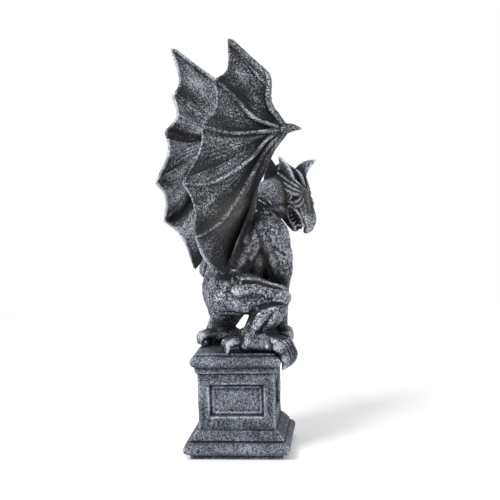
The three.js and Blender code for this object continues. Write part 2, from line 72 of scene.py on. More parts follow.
def toFigure(points):
    # the way back: points less the figure's origin, each measured along its axes
    return (points - figureOrigin) @ figureAxes.T


def onPlinth(x, y, z):
    # a place given in the plinth's axes, in the figure's own
    return toFigure(np.array([x, y, z], float))


def between(a, b, share):
    # the place at that share of the way: a + (b - a) * share
    return list(np.asarray(a, float)[:3] + (np.asarray(b, float)[:3] - np.asarray(a, float)[:3]) * share)


# Curves and surfaces

def smoothPath(points, params):
    # centripetal Catmull-Rom: each span is a cubic whose end slopes come from the root of the distances
    # to the neighbouring points; params run from 0 to 1 over all spans, and slopes are returned too
    p = np.asarray(points, float)
    p = np.vstack([2 * p[0] - p[1], p, 2 * p[-1] - p[-2]])
    spans = len(p) - 3
    at = np.clip(np.asarray(params, float), 0, 1) * spans
    k = np.minimum(at.astype(int), spans - 1)
    t = (at - k)[:, None]
    a, b, c, d = p[k], p[k + 1], p[k + 2], p[k + 3]
    step = lambda m, n: np.maximum(np.sqrt(np.linalg.norm(n - m, axis=1)), 1e-3)[:, None]
    s0, s1, s2 = step(a, b), step(b, c), step(c, d)
    m1 = ((b - a) / s0 - (c - a) / (s0 + s1) + (c - b) / s1) * s1
    m2 = ((c - b) / s1 - (d - b) / (s1 + s2) + (d - c) / s2) * s1
    c2 = 3 * (c - b) - 2 * m1 - m2
    c3 = 2 * (b - c) + m1 + m2
    return b + m1 * t + c2 * t**2 + c3 * t**3, m1 + 2 * c2 * t + 3 * c3 * t**2


def unit(v):
    # each row divided by its own length
    return v / np.maximum(np.linalg.norm(v, axis=-1, keepdims=True), 1e-9)


domeBends = [15, 35, 55, 75, 86]  # degrees round a limb's closed end at which it has a ring
leastHalf = 0.15  # mm, a limb's least half width


def limb(stations, across=(0, 1, 0), domes=(0.8, 0.8), sides=28, steps=8):
    # an oval carried along a smooth path: point = centre + side * width * cos a + front * depth * sin a;
    # a station is [u, v, z, half width, half depth], and each end closes with a quarter round of rings
    rows = [list(s) + [s[3]] if len(s) == 4 else list(s) for s in stations]
    table = np.array(rows, float)
    t = np.linspace(0, 1, (len(rows) - 1) * steps + 1)
    centre, slope = smoothPath(table[:, :3], t)
    size, _ = smoothPath(np.c_[table[:, 3:5], np.zeros(len(rows))], t)
    size = np.maximum(size[:, :2], leastHalf)
    slope = unit(slope)
    bends = np.radians(domeBends)
    for end, way, share in ((0, -1, domes[0]), (-1, 1, domes[1])):
        reach = way * share * size[end].min() * np.sin(bends)
        cap = centre[end] + slope[end] * reach[:, None]
        small = size[end] * np.cos(bends)[:, None]
        turn = np.repeat(slope[end][None], len(bends), 0)
        joins = ((cap, centre), (small, size), (turn, slope))
        if way < 0:
            centre, size, slope = (np.vstack([new[::-1], old]) for new, old in joins)
        else:
            centre, size, slope = (np.vstack([old, new]) for new, old in joins)
    side = np.asarray(across, float) - slope * (slope @ np.asarray(across, float))[:, None]
    side = unit(side)
    front = np.cross(slope, side)
    a = np.linspace(0, 2 * np.pi, sides, endpoint=False)
    return (
        centre[:, None]
        + side[:, None] * (size[:, 0, None] * np.cos(a))[..., None]
        + front[:, None] * (size[:, 1, None] * np.sin(a))[..., None]
    )


def shell(rings):
    # a closed skin over rows of rings: two triangles in each cell, a fan to the mean point of each end
    # row, and all of them turned about where the volume that they enclose comes out negative
    n, m, _ = rings.shape
    points = np.vstack([rings.reshape(-1, 3), rings[0].mean(0), rings[-1].mean(0)])
    r, s = np.meshgrid(np.arange(n - 1), np.arange(m), indexing="ij")
    a, b = (r * m + s).ravel(), (r * m + (s + 1) % m).ravel()
    walls = np.c_[np.r_[a, b], np.r_[b, b + m], np.r_[a + m, a + m]]
    s = np.arange(m)
    foot = np.c_[np.full(m, n * m), (s + 1) % m, s]
    tip = np.c_[np.full(m, n * m + 1), (n - 1) * m + s, (n - 1) * m + (s + 1) % m]
    faces = np.vstack([walls, foot, tip])
    p = points[faces]
    if np.einsum("ij,ij->i", p[:, 0], np.cross(p[:, 1], p[:, 2])).sum() < 0:
        faces = faces[:, ::-1]
    return points, faces


def makeMesh(name, points, faces):
    # one row of corner numbers for each face, written into the mesh as whole arrays
    mesh = bpy.data.meshes.new(name)
    faces = np.ascontiguousarray(faces, np.int32)
    mesh.vertices.add(len(points))
    mesh.vertices.foreach_set("co", np.ascontiguousarray(points, np.float32).ravel())
    mesh.loops.add(faces.size)
    mesh.loops.foreach_set("vertex_index", faces.ravel())
    mesh.polygons.add(len(faces))
    mesh.polygons.foreach_set("loop_start", np.arange(len(faces), dtype=np.int32) * faces.shape[1])
    mesh.update(calc_edges=True)
    mesh.validate()
    return mesh


def placed(name, data):
    # an object of its own for the data, in the scene
    holder = bpy.data.objects.new(name, data)
    bpy.context.scene.collection.objects.link(holder)
    return holder


def finished(thing):
    # a new mesh of the object as its modifiers leave it
    return bpy.data.meshes.new_from_object(thing.evaluated_get(bpy.context.evaluated_depsgraph_get()))


def cast(name, shells, grain):
    # every form poured together: the shells' common outside, rebuilt as an even skin of that grain
    offset, points, faces = 0, [], []
    for p, f in shells:
        points.append(p)
        faces.append(f + offset)
        offset += len(p)
    mesh = makeMesh(name + "Mould", np.vstack(points), np.vstack(faces))
    mould = placed(name + "Mould", mesh)
    skin = mould.modifiers.new("skin", "REMESH")
    skin.mode = "VOXEL"
    skin.voxel_size = grain
    skin.adaptivity = 0
    done = finished(mould)
    points = np.zeros(len(done.vertices) * 3, np.float32)
    done.vertices.foreach_get("co", points)
    faces = np.zeros(len(done.loops), np.int32)
    done.loops.foreach_get("vertex_index", faces)
    bpy.data.objects.remove(mould)
    bpy.data.meshes.remove(mesh)
    bpy.data.meshes.remove(done)
    return points.reshape(-1, 3).astype(float), faces.reshape(-1, 4)


# Skin: smoothing, normals, relief and wear

def neighbours(faces):
    # every edge once: each corner paired with the next one of its face, the pairs sorted
    edges = np.vstack([faces[:, [i, (i + 1) % faces.shape[1]]] for i in range(faces.shape[1])])
    return np.unique(np.sort(edges, 1), axis=0)


def average(values, edges, count):
    # mean of each point's neighbours
    total = np.zeros_like(values)
    for c in range(values.shape[1]):
        total[:, c] = np.bincount(edges[:, 0], values[edges[:, 1], c], len(values))
        total[:, c] += np.bincount(edges[:, 1], values[edges[:, 0], c], len(values))
    return total / count[:, None]


def degree(edges, n):
    # how many edges meet at each point
    return np.maximum(np.bincount(edges.ravel(), minlength=n), 1).astype(float)


def soften(points, edges, rounds, weight=1.0, keep=True, pull=0.5, push=0.52):
    # points move towards their neighbours' mean and, to keep the volume, a little further back out
    count = degree(edges, len(points))
    weight = np.broadcast_to(weight, (len(points),))[:, None]
    for _ in range(rounds):
        points = points + pull * weight * (average(points, edges, count) - points)
        if keep:
            points = points - push * weight * (average(points, edges, count) - points)
    return points


def normals(points, faces):
    # the sum of the cross products of the diagonals of the faces round each point, made one long
    p = points[faces]
    n = np.cross(p[:, 2] - p[:, 0], p[:, -1] - p[:, 1])
    out = np.zeros_like(points)
    for c in range(3):
        for k in range(faces.shape[1]):
            out[:, c] += np.bincount(faces[:, k], n[:, c], len(points))
    return unit(out)


def convexity(points, faces, edges, rounds):
    # how far a point stands out of the mean of its surroundings, along its normal
    mean = soften(points, edges, rounds, keep=False)
    return np.einsum("ij,ij->i", points - mean, normals(points, faces))


def lineDistance(points, line):
    # shortest distance to a polyline, and where along it, from 0 to 1
    line = np.asarray(line, float)
    best = np.full(len(points), 1e9)
    where = np.zeros(len(points))
    for i in range(len(line) - 1):
        d = line[i + 1] - line[i]
        t = np.clip((points - line[i]) @ d / max(d @ d, 1e-9), 0, 1)
        gap = np.linalg.norm(points - line[i] - t[:, None] * d, axis=1)
        closer = gap < best
        best[closer] = gap[closer]
        where[closer] = ((i + t) / (len(line) - 1))[closer]
    return best, where


def rise(value, start, reach):
    # 0 up to the start, then straight up to 1 over the reach
    return np.clip((value - start) / reach, 0, 1)


def bell(value, at, width):
    # e to the minus squared distance from a place, counted in widths
    return np.exp(-(((value - at) / width) ** 2))


def fold(points, line, width, height):
    # a ridge, or a furrow where the height is negative: a bell across the line that fades at its ends
    path, _ = smoothPath(line, np.linspace(0, 1, 4 * len(line)))
    gap, where = lineDistance(points, path)
    return height * bell(gap, 0, width) * np.clip(np.sin(np.pi * where) * 3, 0.0, 1)


def lump(points, centre, radius, height):
    # a bell round a centre: height * e to the minus squared distance, counted in radii
    d2 = (((points - np.asarray(centre, float)) / np.asarray(radius, float)) ** 2).sum(1)
    return height * np.exp(-d2)


def latticeNoise(points, size, seed):
    # smooth noise between -1 and 1 from whole-number hashes at the corners of cells of that size
    q = points / size
    cell = np.floor(q).astype(np.int64)
    f = q - cell
    f = f * f * (3 - 2 * f)
    out = np.zeros(len(points))
    for corner in range(8):
        bits = np.array([corner & 1, (corner >> 1) & 1, (corner >> 2) & 1])
        c = cell + bits
        h = (c[:, 0] * 73856093) ^ (c[:, 1] * 19349663) ^ (c[:, 2] * 83492791) ^ (seed * 2654435761)
        h = (h ^ (h >> 13)) * 1274126177 & 0xFFFFFFFF
        value = ((h ^ (h >> 16)) & 0xFFFF) / 32767.5 - 1
        out += value * np.prod(np.where(bits, f, 1 - f), axis=1)
    return out


def roughness(points, layers):
    # noise of several sizes added up: a layer is its size in mm, its height in mm and its seed
    return sum(latticeNoise(points, size, seed) * height for size, height, seed in layers)


def boxBlur(grid, reach):
    # mean over a cube of cells, one axis after the other, from running sums
    for axis in range(3):
        pad = [(0, 0)] * 3
        pad[axis] = (reach + 1, reach)
        run = np.cumsum(np.pad(grid, pad), axis=axis)
        size = grid.shape[axis]
        high = np.take(run, np.arange(2 * reach + 1, 2 * reach + 1 + size), axis=axis)
        low = np.take(run, np.arange(size), axis=axis)
        grid = (high - low) / (2 * reach + 1)
    return grid


# settings for the painted shade of closed-in places
shadeGrid = {
    "cell": 1.5,  # mm, the side of a cell
    "margin": 40,  # mm of empty cells round the statue
    "reaches": ((2, 0.45), (5, 0.4), (10, 0.3)),  # a cube's reach in cells and its share of the total
    "setOff": 0.62,  # how far a cube is set off the surface, as a share of its side
    "most": 1.6,
}


def crowdedShade(allPoints, areas, points, out, c):
    # how closed in a point is, which the paint turns to painted shade: the area of surface found in cubes set
    # off it along its normal, against the area of one wall through such a cube
    low = allPoints.min(0) - c["margin"]
    size = np.ceil((allPoints.max(0) + c["margin"] - low) / c["cell"]).astype(int)
    place = lambda at: tuple(np.clip(((at - low) / c["cell"]).astype(int), 0, size - 1).T)
    flat = np.ravel_multi_index(place(allPoints), size)
    grid = np.bincount(flat, areas, int(np.prod(size))).reshape(size) / c["cell"] ** 3
    total = np.zeros(len(points))
    for reach, share in c["reaches"]:
        blurred = boxBlur(boxBlur(grid, max(reach // 2, 1)), max(reach // 2, 1))
        wide = (2 * reach + 1) * c["cell"]
        total += share * np.clip(blurred[place(points + out * (wide * c["setOff"]))] * wide, 0, c["most"])
    return total


def finishPiece(name, geometry, material, node, around, rounds=4):
    # a skin kept inside the CAD box, in metres, with two values at each point for its paint: how worn it is,
    # with the tints and painted light and shade it carries, and how closed in it is, which is painted shade,
    # evened out over a few rounds of its neighbours' mean
    points, faces, edges, tintsAndPaintedLight = geometry
    points = np.clip(points, *(np.array(corner) / metresPerMm for corner in cadBox))
    out = normals(points, faces)
    count = degree(edges, len(points))
    # painted shade: how closed in each point is, which darkens its paint
    shade = crowdedShade(*around, points, out, shadeGrid)[:, None]
    for _ in range(rounds):
        shade = 0.5 * shade + 0.5 * average(shade, edges, count)
    mesh = makeMesh(name, points * metresPerMm, faces)
    mesh.polygons.foreach_set("use_smooth", np.ones(len(faces), bool))
    # the wear values get each piece's tints added, among them painted light and shade
    for layerName, values in (("wear", wearOf(points, faces, edges) + tintsAndPaintedLight), ("shade", shade[:, 0])):
        layer = mesh.attributes.new(layerName, "FLOAT", "POINT")
        layer.data.foreach_set("value", np.ascontiguousarray(values, np.float32))
    piece = placed(name, mesh)
    mesh.materials.append(material)
    thin(piece, 2 * len(faces))
    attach(piece, "root")
    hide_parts(node)
    triangles = sum(len(f.vertices) - 2 for f in piece.data.polygons)
    print(name, len(piece.data.vertices), "points", triangles, "triangles")


def thin(piece, count, limit=195000):
    # where a piece has more triangles than the limit, the edges that matter least to its form collapse
    if count > limit:
        cut = piece.modifiers.new("thin", "DECIMATE")
        cut.ratio = limit / count
        fewer = finished(piece)
        piece.modifiers.clear()
        piece.data = fewer


def wearOf(points, faces, edges, scales=((2, 0.08, 0.4), (8, 0.3, 0.5), (40, 1.2, 0.5))):
    # standing proud at a fine, a middle and a broad scale, each squeezed to -1..1, then added
    total = np.zeros(len(points))
    for rounds, size, share in scales:
        total += share * np.tanh(convexity(points, faces, edges, rounds) / size)
    return total


# Finishes

# What the stone finishes share; each piece's own look is with its piece
stone = {
    "paintStops": (0.18, 0.5, 0.95),
    "fineDetail": 3, "fineRoughness": 0.6,
    "pebbleSmoothness": 0.35, "pebbleTop": 0.62, "warpScale": 700, "warpMm": 0.9,
    "gloss": 0.25, "roughBase": 0.5, "roughSpread": 0.3, "bumpMm": 0.6,
    "stainGrainMm": 2.857,
}


def stoneFinish(name, look):
    # dark resin under a dry-brushed grey: the dry brushing catches what stands proud, which is the wear
    # attribute with the tints and painted light and shade it carries, plus the grain's own height plus a slow
    # drift; the shade attribute takes painted shade off, and a three-colour ramp turns it to paint
    material = bpy.data.materials.new(name)
    material.use_nodes = True
    nodes, links = material.node_tree.nodes, material.node_tree.links
    nodes.clear()
    add = lambda kind, **values: setNode(nodes.new(kind), values)
    output = add("ShaderNodeOutputMaterial")
    shader = add("ShaderNodeBsdfPrincipled")
    shader.inputs["Specular IOR Level"].default_value = stone["gloss"]
    links.new(shader.outputs["BSDF"], output.inputs["Surface"])
    place = add("ShaderNodeTexCoord").outputs["Object"]

    def noise(sizeMm, detail, roughness=0.55):
        # cloudy noise whose patches are about that many millimetres across
        n = add("ShaderNodeTexNoise")
        n.inputs["Scale"].default_value = 1 / (sizeMm * metresPerMm)
        n.inputs["Detail"].default_value = detail
        n.inputs["Roughness"].default_value = roughness
        links.new(place, n.inputs["Vector"])
        return n.outputs["Fac"]

    def calc(kind, a, b, c=None):
        # one step of arithmetic on numbers or sockets
        n = add("ShaderNodeMath", operation=kind)
        for socket, value in zip(n.inputs, (a, b, c)):
            if isinstance(value, (int, float)):
                socket.default_value = value
            elif value is not None:
                links.new(value, socket)
        return n.outputs[0]

    fine = noise(look["grainMm"], stone["fineDetail"], stone["fineRoughness"])
    pebble = add("ShaderNodeTexVoronoi", feature="SMOOTH_F1")
    pebble.inputs["Scale"].default_value = 1000 / look["pebbleMm"]
    pebble.inputs["Smoothness"].default_value = stone["pebbleSmoothness"]
    pebble.inputs["Randomness"].default_value = 1.0
    warp = add("ShaderNodeVectorMath", operation="MULTIPLY_ADD")
    wobble = add("ShaderNodeTexNoise")
    wobble.inputs["Scale"].default_value = stone["warpScale"] / look["pebbleMm"]
    links.new(place, wobble.inputs["Vector"])
    links.new(wobble.outputs["Color"], warp.inputs[0])
    warp.inputs[1].default_value = (look["pebbleMm"] * stone["warpMm"] * metresPerMm,) * 3
    links.new(place, warp.inputs[2])
    links.new(warp.outputs[0], pebble.inputs["Vector"])
    domes = calc("SUBTRACT", stone["pebbleTop"], pebble.outputs["Distance"])
    height = calc("ADD", calc("MULTIPLY", domes, look["pebbles"]), calc("MULTIPLY", fine, look["grain"]))

    wornAndLit = add("ShaderNodeAttribute", attribute_name="wear").outputs["Fac"]
    drift = noise(look["driftMm"], 2)
    shade = add("ShaderNodeAttribute", attribute_name="shade").outputs["Fac"]
    # wear with its tints, painted light and shade among them, lightens the paint
    paint = calc("MULTIPLY_ADD", wornAndLit, look["wearGain"], look["base"])
    # painted shade: darker by the shade attribute where the skin is closed in
    paint = calc("SUBTRACT", paint, calc("MULTIPLY", shade, look["shadeGain"]))
    grainy = calc("MULTIPLY", calc("SUBTRACT", height, look["heightMid"]), look["heightGain"])
    paint = calc("ADD", paint, grainy)
    paint = calc("ADD", paint, calc("MULTIPLY", calc("SUBTRACT", drift, 0.5), look["driftGain"]))
    ramp = add("ShaderNodeValToRGB")
    stops = ramp.color_ramp.elements
    darkAt, midAt, lightAt = stone["paintStops"]
    stops[0].position, stops[0].color = darkAt, (*look["dark"], 1)
    stops[1].position, stops[1].color = lightAt, (*look["light"], 1)
    stops.new(midAt).color = (*look["mid"], 1)
    links.new(paint, ramp.inputs["Fac"])
    colour = ramp.outputs["Color"]
    for stain in look.get("stains", ()):
        colour = stained(add, links, calc, noise, colour, place, stain)
    links.new(colour, shader.inputs["Base Color"])
    rough = calc("MULTIPLY_ADD", fine, stone["roughSpread"], stone["roughBase"])
    links.new(rough, shader.inputs["Roughness"])
    bump = add("ShaderNodeBump")
    bump.inputs["Strength"].default_value = look["bump"]
    bump.inputs["Distance"].default_value = stone["bumpMm"] * metresPerMm
    links.new(height, bump.inputs["Height"])
    links.new(bump.outputs["Normal"], shader.inputs["Normal"])
    return material


def setNode(node, values):
    # each named value set on the node
    for key, value in values.items():
        setattr(node, key, value)
    return node


def stained(add, links, calc, noise, colour, place, stain):
    # a round patch of warmer brown: its share is 1 at the middle and 0 at its radius, times noise
    far = add("ShaderNodeVectorMath", operation="DISTANCE")
    links.new(place, far.inputs[0])
    far.inputs[1].default_value = stain["at"]
    spot = calc("SUBTRACT", 1.0, calc("DIVIDE", far.outputs["Value"], stain["radius"]))
    patchy = calc("MULTIPLY", noise(stone["stainGrainMm"], 3), stain["strength"] * 2)
    spot = calc("MULTIPLY", calc("MAXIMUM", spot, 0.0), patchy)
    mix = add("ShaderNodeMix", data_type="RGBA", blend_type="MIX", clamp_factor=True)
    links.new(spot, mix.inputs["Factor"])
    links.new(colour, mix.inputs["A"])
    mix.inputs["B"].default_value = (*stain["colour"], 1)
    return mix.outputs["Result"]


# Plinth

plinth = {
    "grain": 0.62,  # mm between points of the skin
    # mouldings: half width, and for the slope a second one at its top, then height
    "slab": (33.8, 3.0),
    "baseRoll": (38.9, 9.6),
    "groove": (34.2, 1.5),
    "slope": (34.9, 29.9, 6.0),
    "die": (28.5, 42.4),
    "band": (30.2, 4.2),
    "capRoll": (33.4, 8.6),
    "plate": (29.2, 1.7),
    "panel": {
        "width": 39.3, "height": 23.3, "depth": 3.2, "rise": 10.2, "step": 3.0, "field": 0.9,
        "reach": 0.9, "bevel": 0.5,
    },
    "panelBrush": 0.45,
    "rough": [(1.7, 0.13, 3), (4.5, 0.13, 4), (14, 0.16, 5)],
    "chips": {"deepest": 0.3, "size": 3, "seed": 6},
    "pits": {"at": [[-20.4, -28.6, 27.2], [-27.6, -38.6, 7.0]], "radius": 1.1, "depth": 0.9},
    "smoothFoot": 1.2,  # mm up from the underside that stays plain
    "look": {
        "dark": (0.008, 0.009, 0.012), "mid": (0.09, 0.102, 0.124), "light": (0.42, 0.45, 0.52),
        "grainMm": 0.7, "pebbleMm": 1.0, "pebbles": 0.9, "grain": 0.7, "heightMid": 0.62, "heightGain": 0.78,
        "driftMm": 14, "driftGain": 0.5, "wearGain": 0.36, "base": 0.52, "shadeGain": 0.16,
        "bump": 0.7,
    },
}


def roll(half, foot, height, count=16):
    # half a circle standing on its side, from its lower to its upper end
    a = np.linspace(-np.pi / 2, np.pi / 2, count)
    r = height / 2
    return np.c_[half - r + r * np.cos(a), foot + r + r * np.sin(a)]


def plinthOutline(p):
    # pairs of half width and height from foot to top: each moulding stands on the one under it
    rows, foots, z = [], {}, 0.0
    for part in ("slab", "baseRoll", "groove", "slope", "die", "band", "capRoll", "plate"):
        *halves, height = p[part]
        foots[part] = z
        if part.endswith("Roll"):
            rows += [tuple(row) for row in roll(halves[0], z, height)]
        else:
            rows += [(halves[0], z), (halves[-1], z + height)]
        z += height
    return np.array(rows, float), foots["die"]


def panelSink(points, p, dieFoot):
    # how deep each face point lies under the die's face: the wide recess, then the deeper field
    panel = p["panel"]
    middle = dieFoot + panel["rise"] + panel["height"] / 2
    x, y, z = points.T
    outer = np.maximum(np.abs(x), np.abs(y))
    inner = np.where(np.abs(x) > np.abs(y), y, x)
    onFace = np.abs(outer - p["die"][0]) < panel["reach"]

    def inside(shrink):
        # 1 within the rectangle made smaller all round, 0 outside it, sloping over the bevel
        dx = panel["width"] / 2 - shrink - np.abs(inner)
        dz = panel["height"] / 2 - shrink - np.abs(z - middle)
        return np.clip(np.minimum(dx, dz) / panel["bevel"] + 0.5, 0, 1)

    return np.where(onFace, inside(0) * panel["depth"] + inside(panel["step"]) * panel["field"], 0.0)


def makePlinth(p):
    # square rings up the outline, the panels drawn inwards, and then roughened: each point moves along
    # its normal by the noise less what is chipped off the edges
    outline, dieFoot = plinthOutline(p)
    corner = np.array([[1, 1], [-1, 1], [-1, -1], [1, -1]], float)
    rings = np.array([np.c_[corner * half, np.full(4, z)] for half, z in outline])
    points, faces = cast("plinth", [shell(rings)], p["grain"])
    edges = neighbours(faces)
    points = soften(points, edges, 3)
    flat = np.abs(points[:, :2])
    facing = unit(np.where(flat == flat.max(1, keepdims=True), points[:, :2], 0))
    sink = panelSink(points, p, dieFoot)
    points[:, :2] -= facing * sink[:, None]
    points = soften(points, edges, 2)
    out = normals(points, faces)
    chips, pits = p["chips"], p["pits"]
    edgeWear = np.clip(convexity(points, faces, edges, 10), 0, chips["deepest"])
    chipped = edgeWear * (0.5 + latticeNoise(points, chips["size"], chips["seed"]))
    lift = np.where(points[:, 2] < p["smoothFoot"], 0.0, roughness(points, p["rough"]) - chipped)
    lift += sum(lump(points, at, pits["radius"], -pits["depth"]) for at in pits["at"])
    points = points + out * lift[:, None]
    points[:, 2] = np.maximum(points[:, 2], 0.0)
    inField = sink > p["panel"]["depth"] * 0.9
    return points, faces, edges, p["panelBrush"] * inField


plinthSkin = makePlinth(plinth)
print("plinth shaped")


# Body

body = {
    "grain": 0.5,
    "torso": [
        [-13, 0, 28, 12, 11], [-11.5, 0, 43, 18, 16.5], [-5.5, 0, 60, 18, 17],
        [3.5, -1, 76, 19, 17.5], [11, -1, 91, 19, 15.5], [15, -1, 102, 12, 10.5],
    ],
    "chest": [[8, 0, 46, 13, 13], [15, -1.5, 60, 15.5, 14], [19, -2, 76, 16, 13.5], [20, -2, 92, 13, 10]],
    "flank": [[6, 14.5, 98, 9, 9], [-1, 16, 84, 8.5, 10], [-9, 17, 69, 8, 10], [-16, 18, 56, 8, 9]],
    "neck": [
        [9, -1, 97, 13, 12], [16, -3, 106, 12.5, 12], [24, -7, 112, 12, 13],
        [33, -9, 115, 10.5, 14], [39, -10.5, 115, 8.6, 12],
    ],
    "throat": [
        [18, -7, 102, 10, 8], [27, -9.5, 103, 9, 7.5], [35, -9, 103.5, 8.5, 7.5], [40, -7.5, 104, 6, 6],
    ],
    "napeFin": [[27, -6.5, 119, 7, 3.2], [27, -5, 130, 6.4, 2.2], [25.5, -3.6, 141.5, 1.8, 1.2]],
    "rightLeg": {
        "side": -1, "hip": [-16.5, -15.5, 44.5], "knee": [20.5, -31.5, 39.5], "ankle": [-0.5, -24, 10],
    },
    "leftLeg": {"side": 1, "hip": [-5, 15, 44.5], "knee": [14, 31, 39.5], "ankle": [-12, 18.5, 9]},
    "rightArm": [
        [14.5, -16, 93, 10.5, 11], [21.5, -20.5, 86, 11, 10.8], [25, -23, 71, 8.4, 8.6],
        [27, -22, 58, 7.6, 8], [27.5, -19, 48, 6, 6.2], [30, -12, 32, 5.6, 5.4],
    ],
    "leftArm": [
        [13.5, 13.5, 93, 10.5, 11], [18.5, 18, 86, 11, 10.6], [23, 21, 71, 8.4, 8.4],
        [26, 20.5, 58, 7.6, 8], [28, 18, 48, 6, 6.2], [30, 12, 32, 5.6, 5.4],
    ],
    # along each leg: the share of the way, half width and half depth
    "thigh": [(0, 17, 16.8), (0.34, 16.2, 14.6), (0.72, 12, 11.4), (1, 9.4, 9.2)],
    "shin": [(0.1, 10, 9.2), (0.4, 13, 10), (0.78, 10.5, 8), (1, 8.5, 6.8)],
    "calfOut": 0.5,
    "heelClaws": {"spread": 4.2, "near": 16, "far": 12},
    "feet": {"ballInset": 6, "ballRise": 4, "near": -20, "far": -3},
    "toes": {
        "reach": 11.5, "drop": 12, "spacing": 6, "radius": 3.7, "lag": 1.6,
        # from the knuckle on: how far back, how high and how thick, as shares of reach, drop and radius
        "hook": [(0.06, 0.02, 0.92), (-0.03, -0.3, 1.02), (-0.04, -0.6, 0.7), (0.12, -1, 0.25)],
    },
    "hands": {"near": 12, "far": 24.6, "palmReach": 2.5, "palmRise": 10, "heel": 14, "heelRise": 7.6},
    "fingers": {"reach": 8.6, "drop": 3, "spacing": 4.4, "radius": 2.6, "lag": 0.5},
    "instep": [
        [[0, -26, 14, 9, 8], [8, -29, 9, 9, 7], [15, -33, 6, 8, 5]],
        [[-4, -28.5, 9.5, 5, 6.5], [4, -31, 8, 6.2, 7.4], [12, -34, 5.5, 6.5, 6]],
    ],
    "musclePairs": [
        [[9, 17, 96, 8, 7], [17, 21.5, 90, 9.5, 9], [22, 25, 79, 7.5, 7], [24, 26, 72, 3, 3]],
        [[-2, 14, 92, 6, 5], [4, 17.5, 88, 8, 6], [6, 19, 78, 7, 5], [2, 19, 68, 4, 3]],
        [[8, 14, 75, 6, 6], [11, 14.5, 66, 7, 7], [9, 14, 56, 5, 5]],
        [[-12, 5, 98, 5, 4], [-12, 6, 84, 6, 5], [-16, 7, 66, 6, 5]],
    ],
    "nearMuscles": [
        [[24, -26, 80, 5, 5], [27.5, -26, 70, 6, 6.4], [28.5, -24.5, 60, 4.4, 5]],
        [[17, -22, 76, 4, 4], [19.5, -24.5, 66, 4.8, 4.6], [22, -23.5, 56, 3.6, 3.6]],
        [
            [9, -20, 93, 8, 7], [14.5, -21, 83, 8.4, 7.6], [18, -20.5, 73, 6.6, 6.4],
            [19, -19, 62, 4.4, 4.4], [22, -18, 50, 4, 4],
        ],
        [[-14, -29, 46, 7, 6], [-2, -31.5, 46.5, 6.5, 5], [12, -35, 43, 5, 4]],
        [[-22, -24, 44, 8, 8], [-14, -27, 38, 8, 7], [-4, -29, 33, 5, 4]],
        [[14, -37, 40, 4.6, 4.4], [20.5, -37.5, 40, 5.8, 5.6], [24.5, -34, 38, 4, 4.2]],
        [[6, -35, 30, 4, 4], [2, -34.5, 24, 4.6, 4.2], [-1.5, -31, 14, 3, 3]],
        [[17, -35, 32, 4, 4], [12, -32.5, 22, 3.6, 3.6], [7, -29, 13, 3, 3]],
        [[-11, -28, 53, 3.4, 3], [-8, -29.4, 52.4, 3.6, 3.2]],
    ],
    # creases and ridges of the near side: points, width and height, the furrows negative
    "carving": [
        ([[16.4, -20, 72], [16.2, -17, 62], [17, -15, 52], [14, -30, 48.5]], 2.2, -2.2),
        ([[16.9, -28, 77], [22.7, -30.6, 72.5], [29.5, -29.3, 68.3]], 1.5, -1.1),
        ([[11.1, -18.6, 80], [12, -16, 67.5], [11.4, -16, 57]], 3.2, -1.3),
        ([[-5.9, -24, 82], [-9.5, -24.6, 71], [-13.3, -25.6, 61]], 4, -2),
        ([[7.4, -22.6, 93], [3, -23.4, 83.3], [-1.3, -23.4, 71.8]], 2.6, 1.4),
        ([[-15, -28, 55], [-5.4, -32, 52.4], [3.3, -32, 52], [14.5, -35, 48.6], [23, -36, 45]], 1.9, -2.4),
        ([[1.7, -34, 33], [8.5, -37.8, 35], [15, -39.1, 36.4], [22, -40, 38.4]], 1.7, -2),
        ([[3.2, -37, 31], [-0.5, -34.5, 21], [-1.9, -32.1, 14]], 1.8, 1.3),
        ([[11.8, -38.4, 32], [7.6, -37, 23], [2.6, -34, 16.3], [1.6, -32, 11], [5, -34, 7]], 1.9, -1.9),
        ([[-23.8, -20.4, 32], [-14.8, -25.4, 30.6], [-5.7, -26.5, 28.5]], 1.8, -1.6),
        ([[11.6, -14.4, 111], [16.5, -17, 107.4], [19, -17.6, 103]], 0.9, 0.6),
        ([[10.6, -15, 108.4], [15, -16.6, 104.6], [17.4, -17, 100.6]], 0.9, 0.6),
        ([[13, -13.6, 114], [18.5, -17, 110.6], [22, -18.4, 105]], 0.9, 0.5),
        ([[8, -20, 102], [14, -22.5, 100.4], [21, -20, 99.5]], 2.2, -2.2),
    ],
    # roughness by size, height and seed; it and the smoothing fade towards the head and the feet
    "rough": [(1.3, 0.17, 11), (2.6, 0.2, 13), (7, 0.16, 12)],
    "fadeFromHead": (22, 10), "fadeOverFeet": (9, 8), "leastRough": 0.35,
    # lighter or darker patches, as bells: place, radii and height; the one on the nape is a painted highlight
    "paint": [
        ([-14, -24, 44], [16, 14, 14], 0.04), ([24, -24, 84], [12, 14, 12], 0.08),
        # painted highlight on the nape
        ([20, -14, 118], [9, 12, 7], 0.22),
        ([4, -20, 78], [10, 10, 18], 0.3), ([6, -30, 3], [13, 9, 4.5], -0.04),
        ([-12, 18.5, 14], [14, 12, 14], 0.3), ([24, -37, -4], [12, 12, 10], -0.34),
    ],
    "look": {
        "dark": (0.005, 0.006, 0.008), "mid": (0.072, 0.08, 0.096), "light": (0.54, 0.57, 0.64),
        "grainMm": 0.7, "pebbleMm": 1.0, "pebbles": 0.8, "grain": 0.8, "heightMid": 0.62, "heightGain": 0.85,
        "driftMm": 12, "driftGain": 0.5, "wearGain": 0.75, "base": 0.56, "shadeGain": 0.42,
        "bump": 0.65,
        "stains": [
            {"at": (0.019, -0.02, 0.145), "radius": 0.024, "strength": 0.8, "colour": (0.05, 0.043, 0.04)},
            {"at": (0.048, 0.0, 0.186), "radius": 0.026, "strength": 0.5, "colour": (0.075, 0.071, 0.058)},
        ],
    },
}


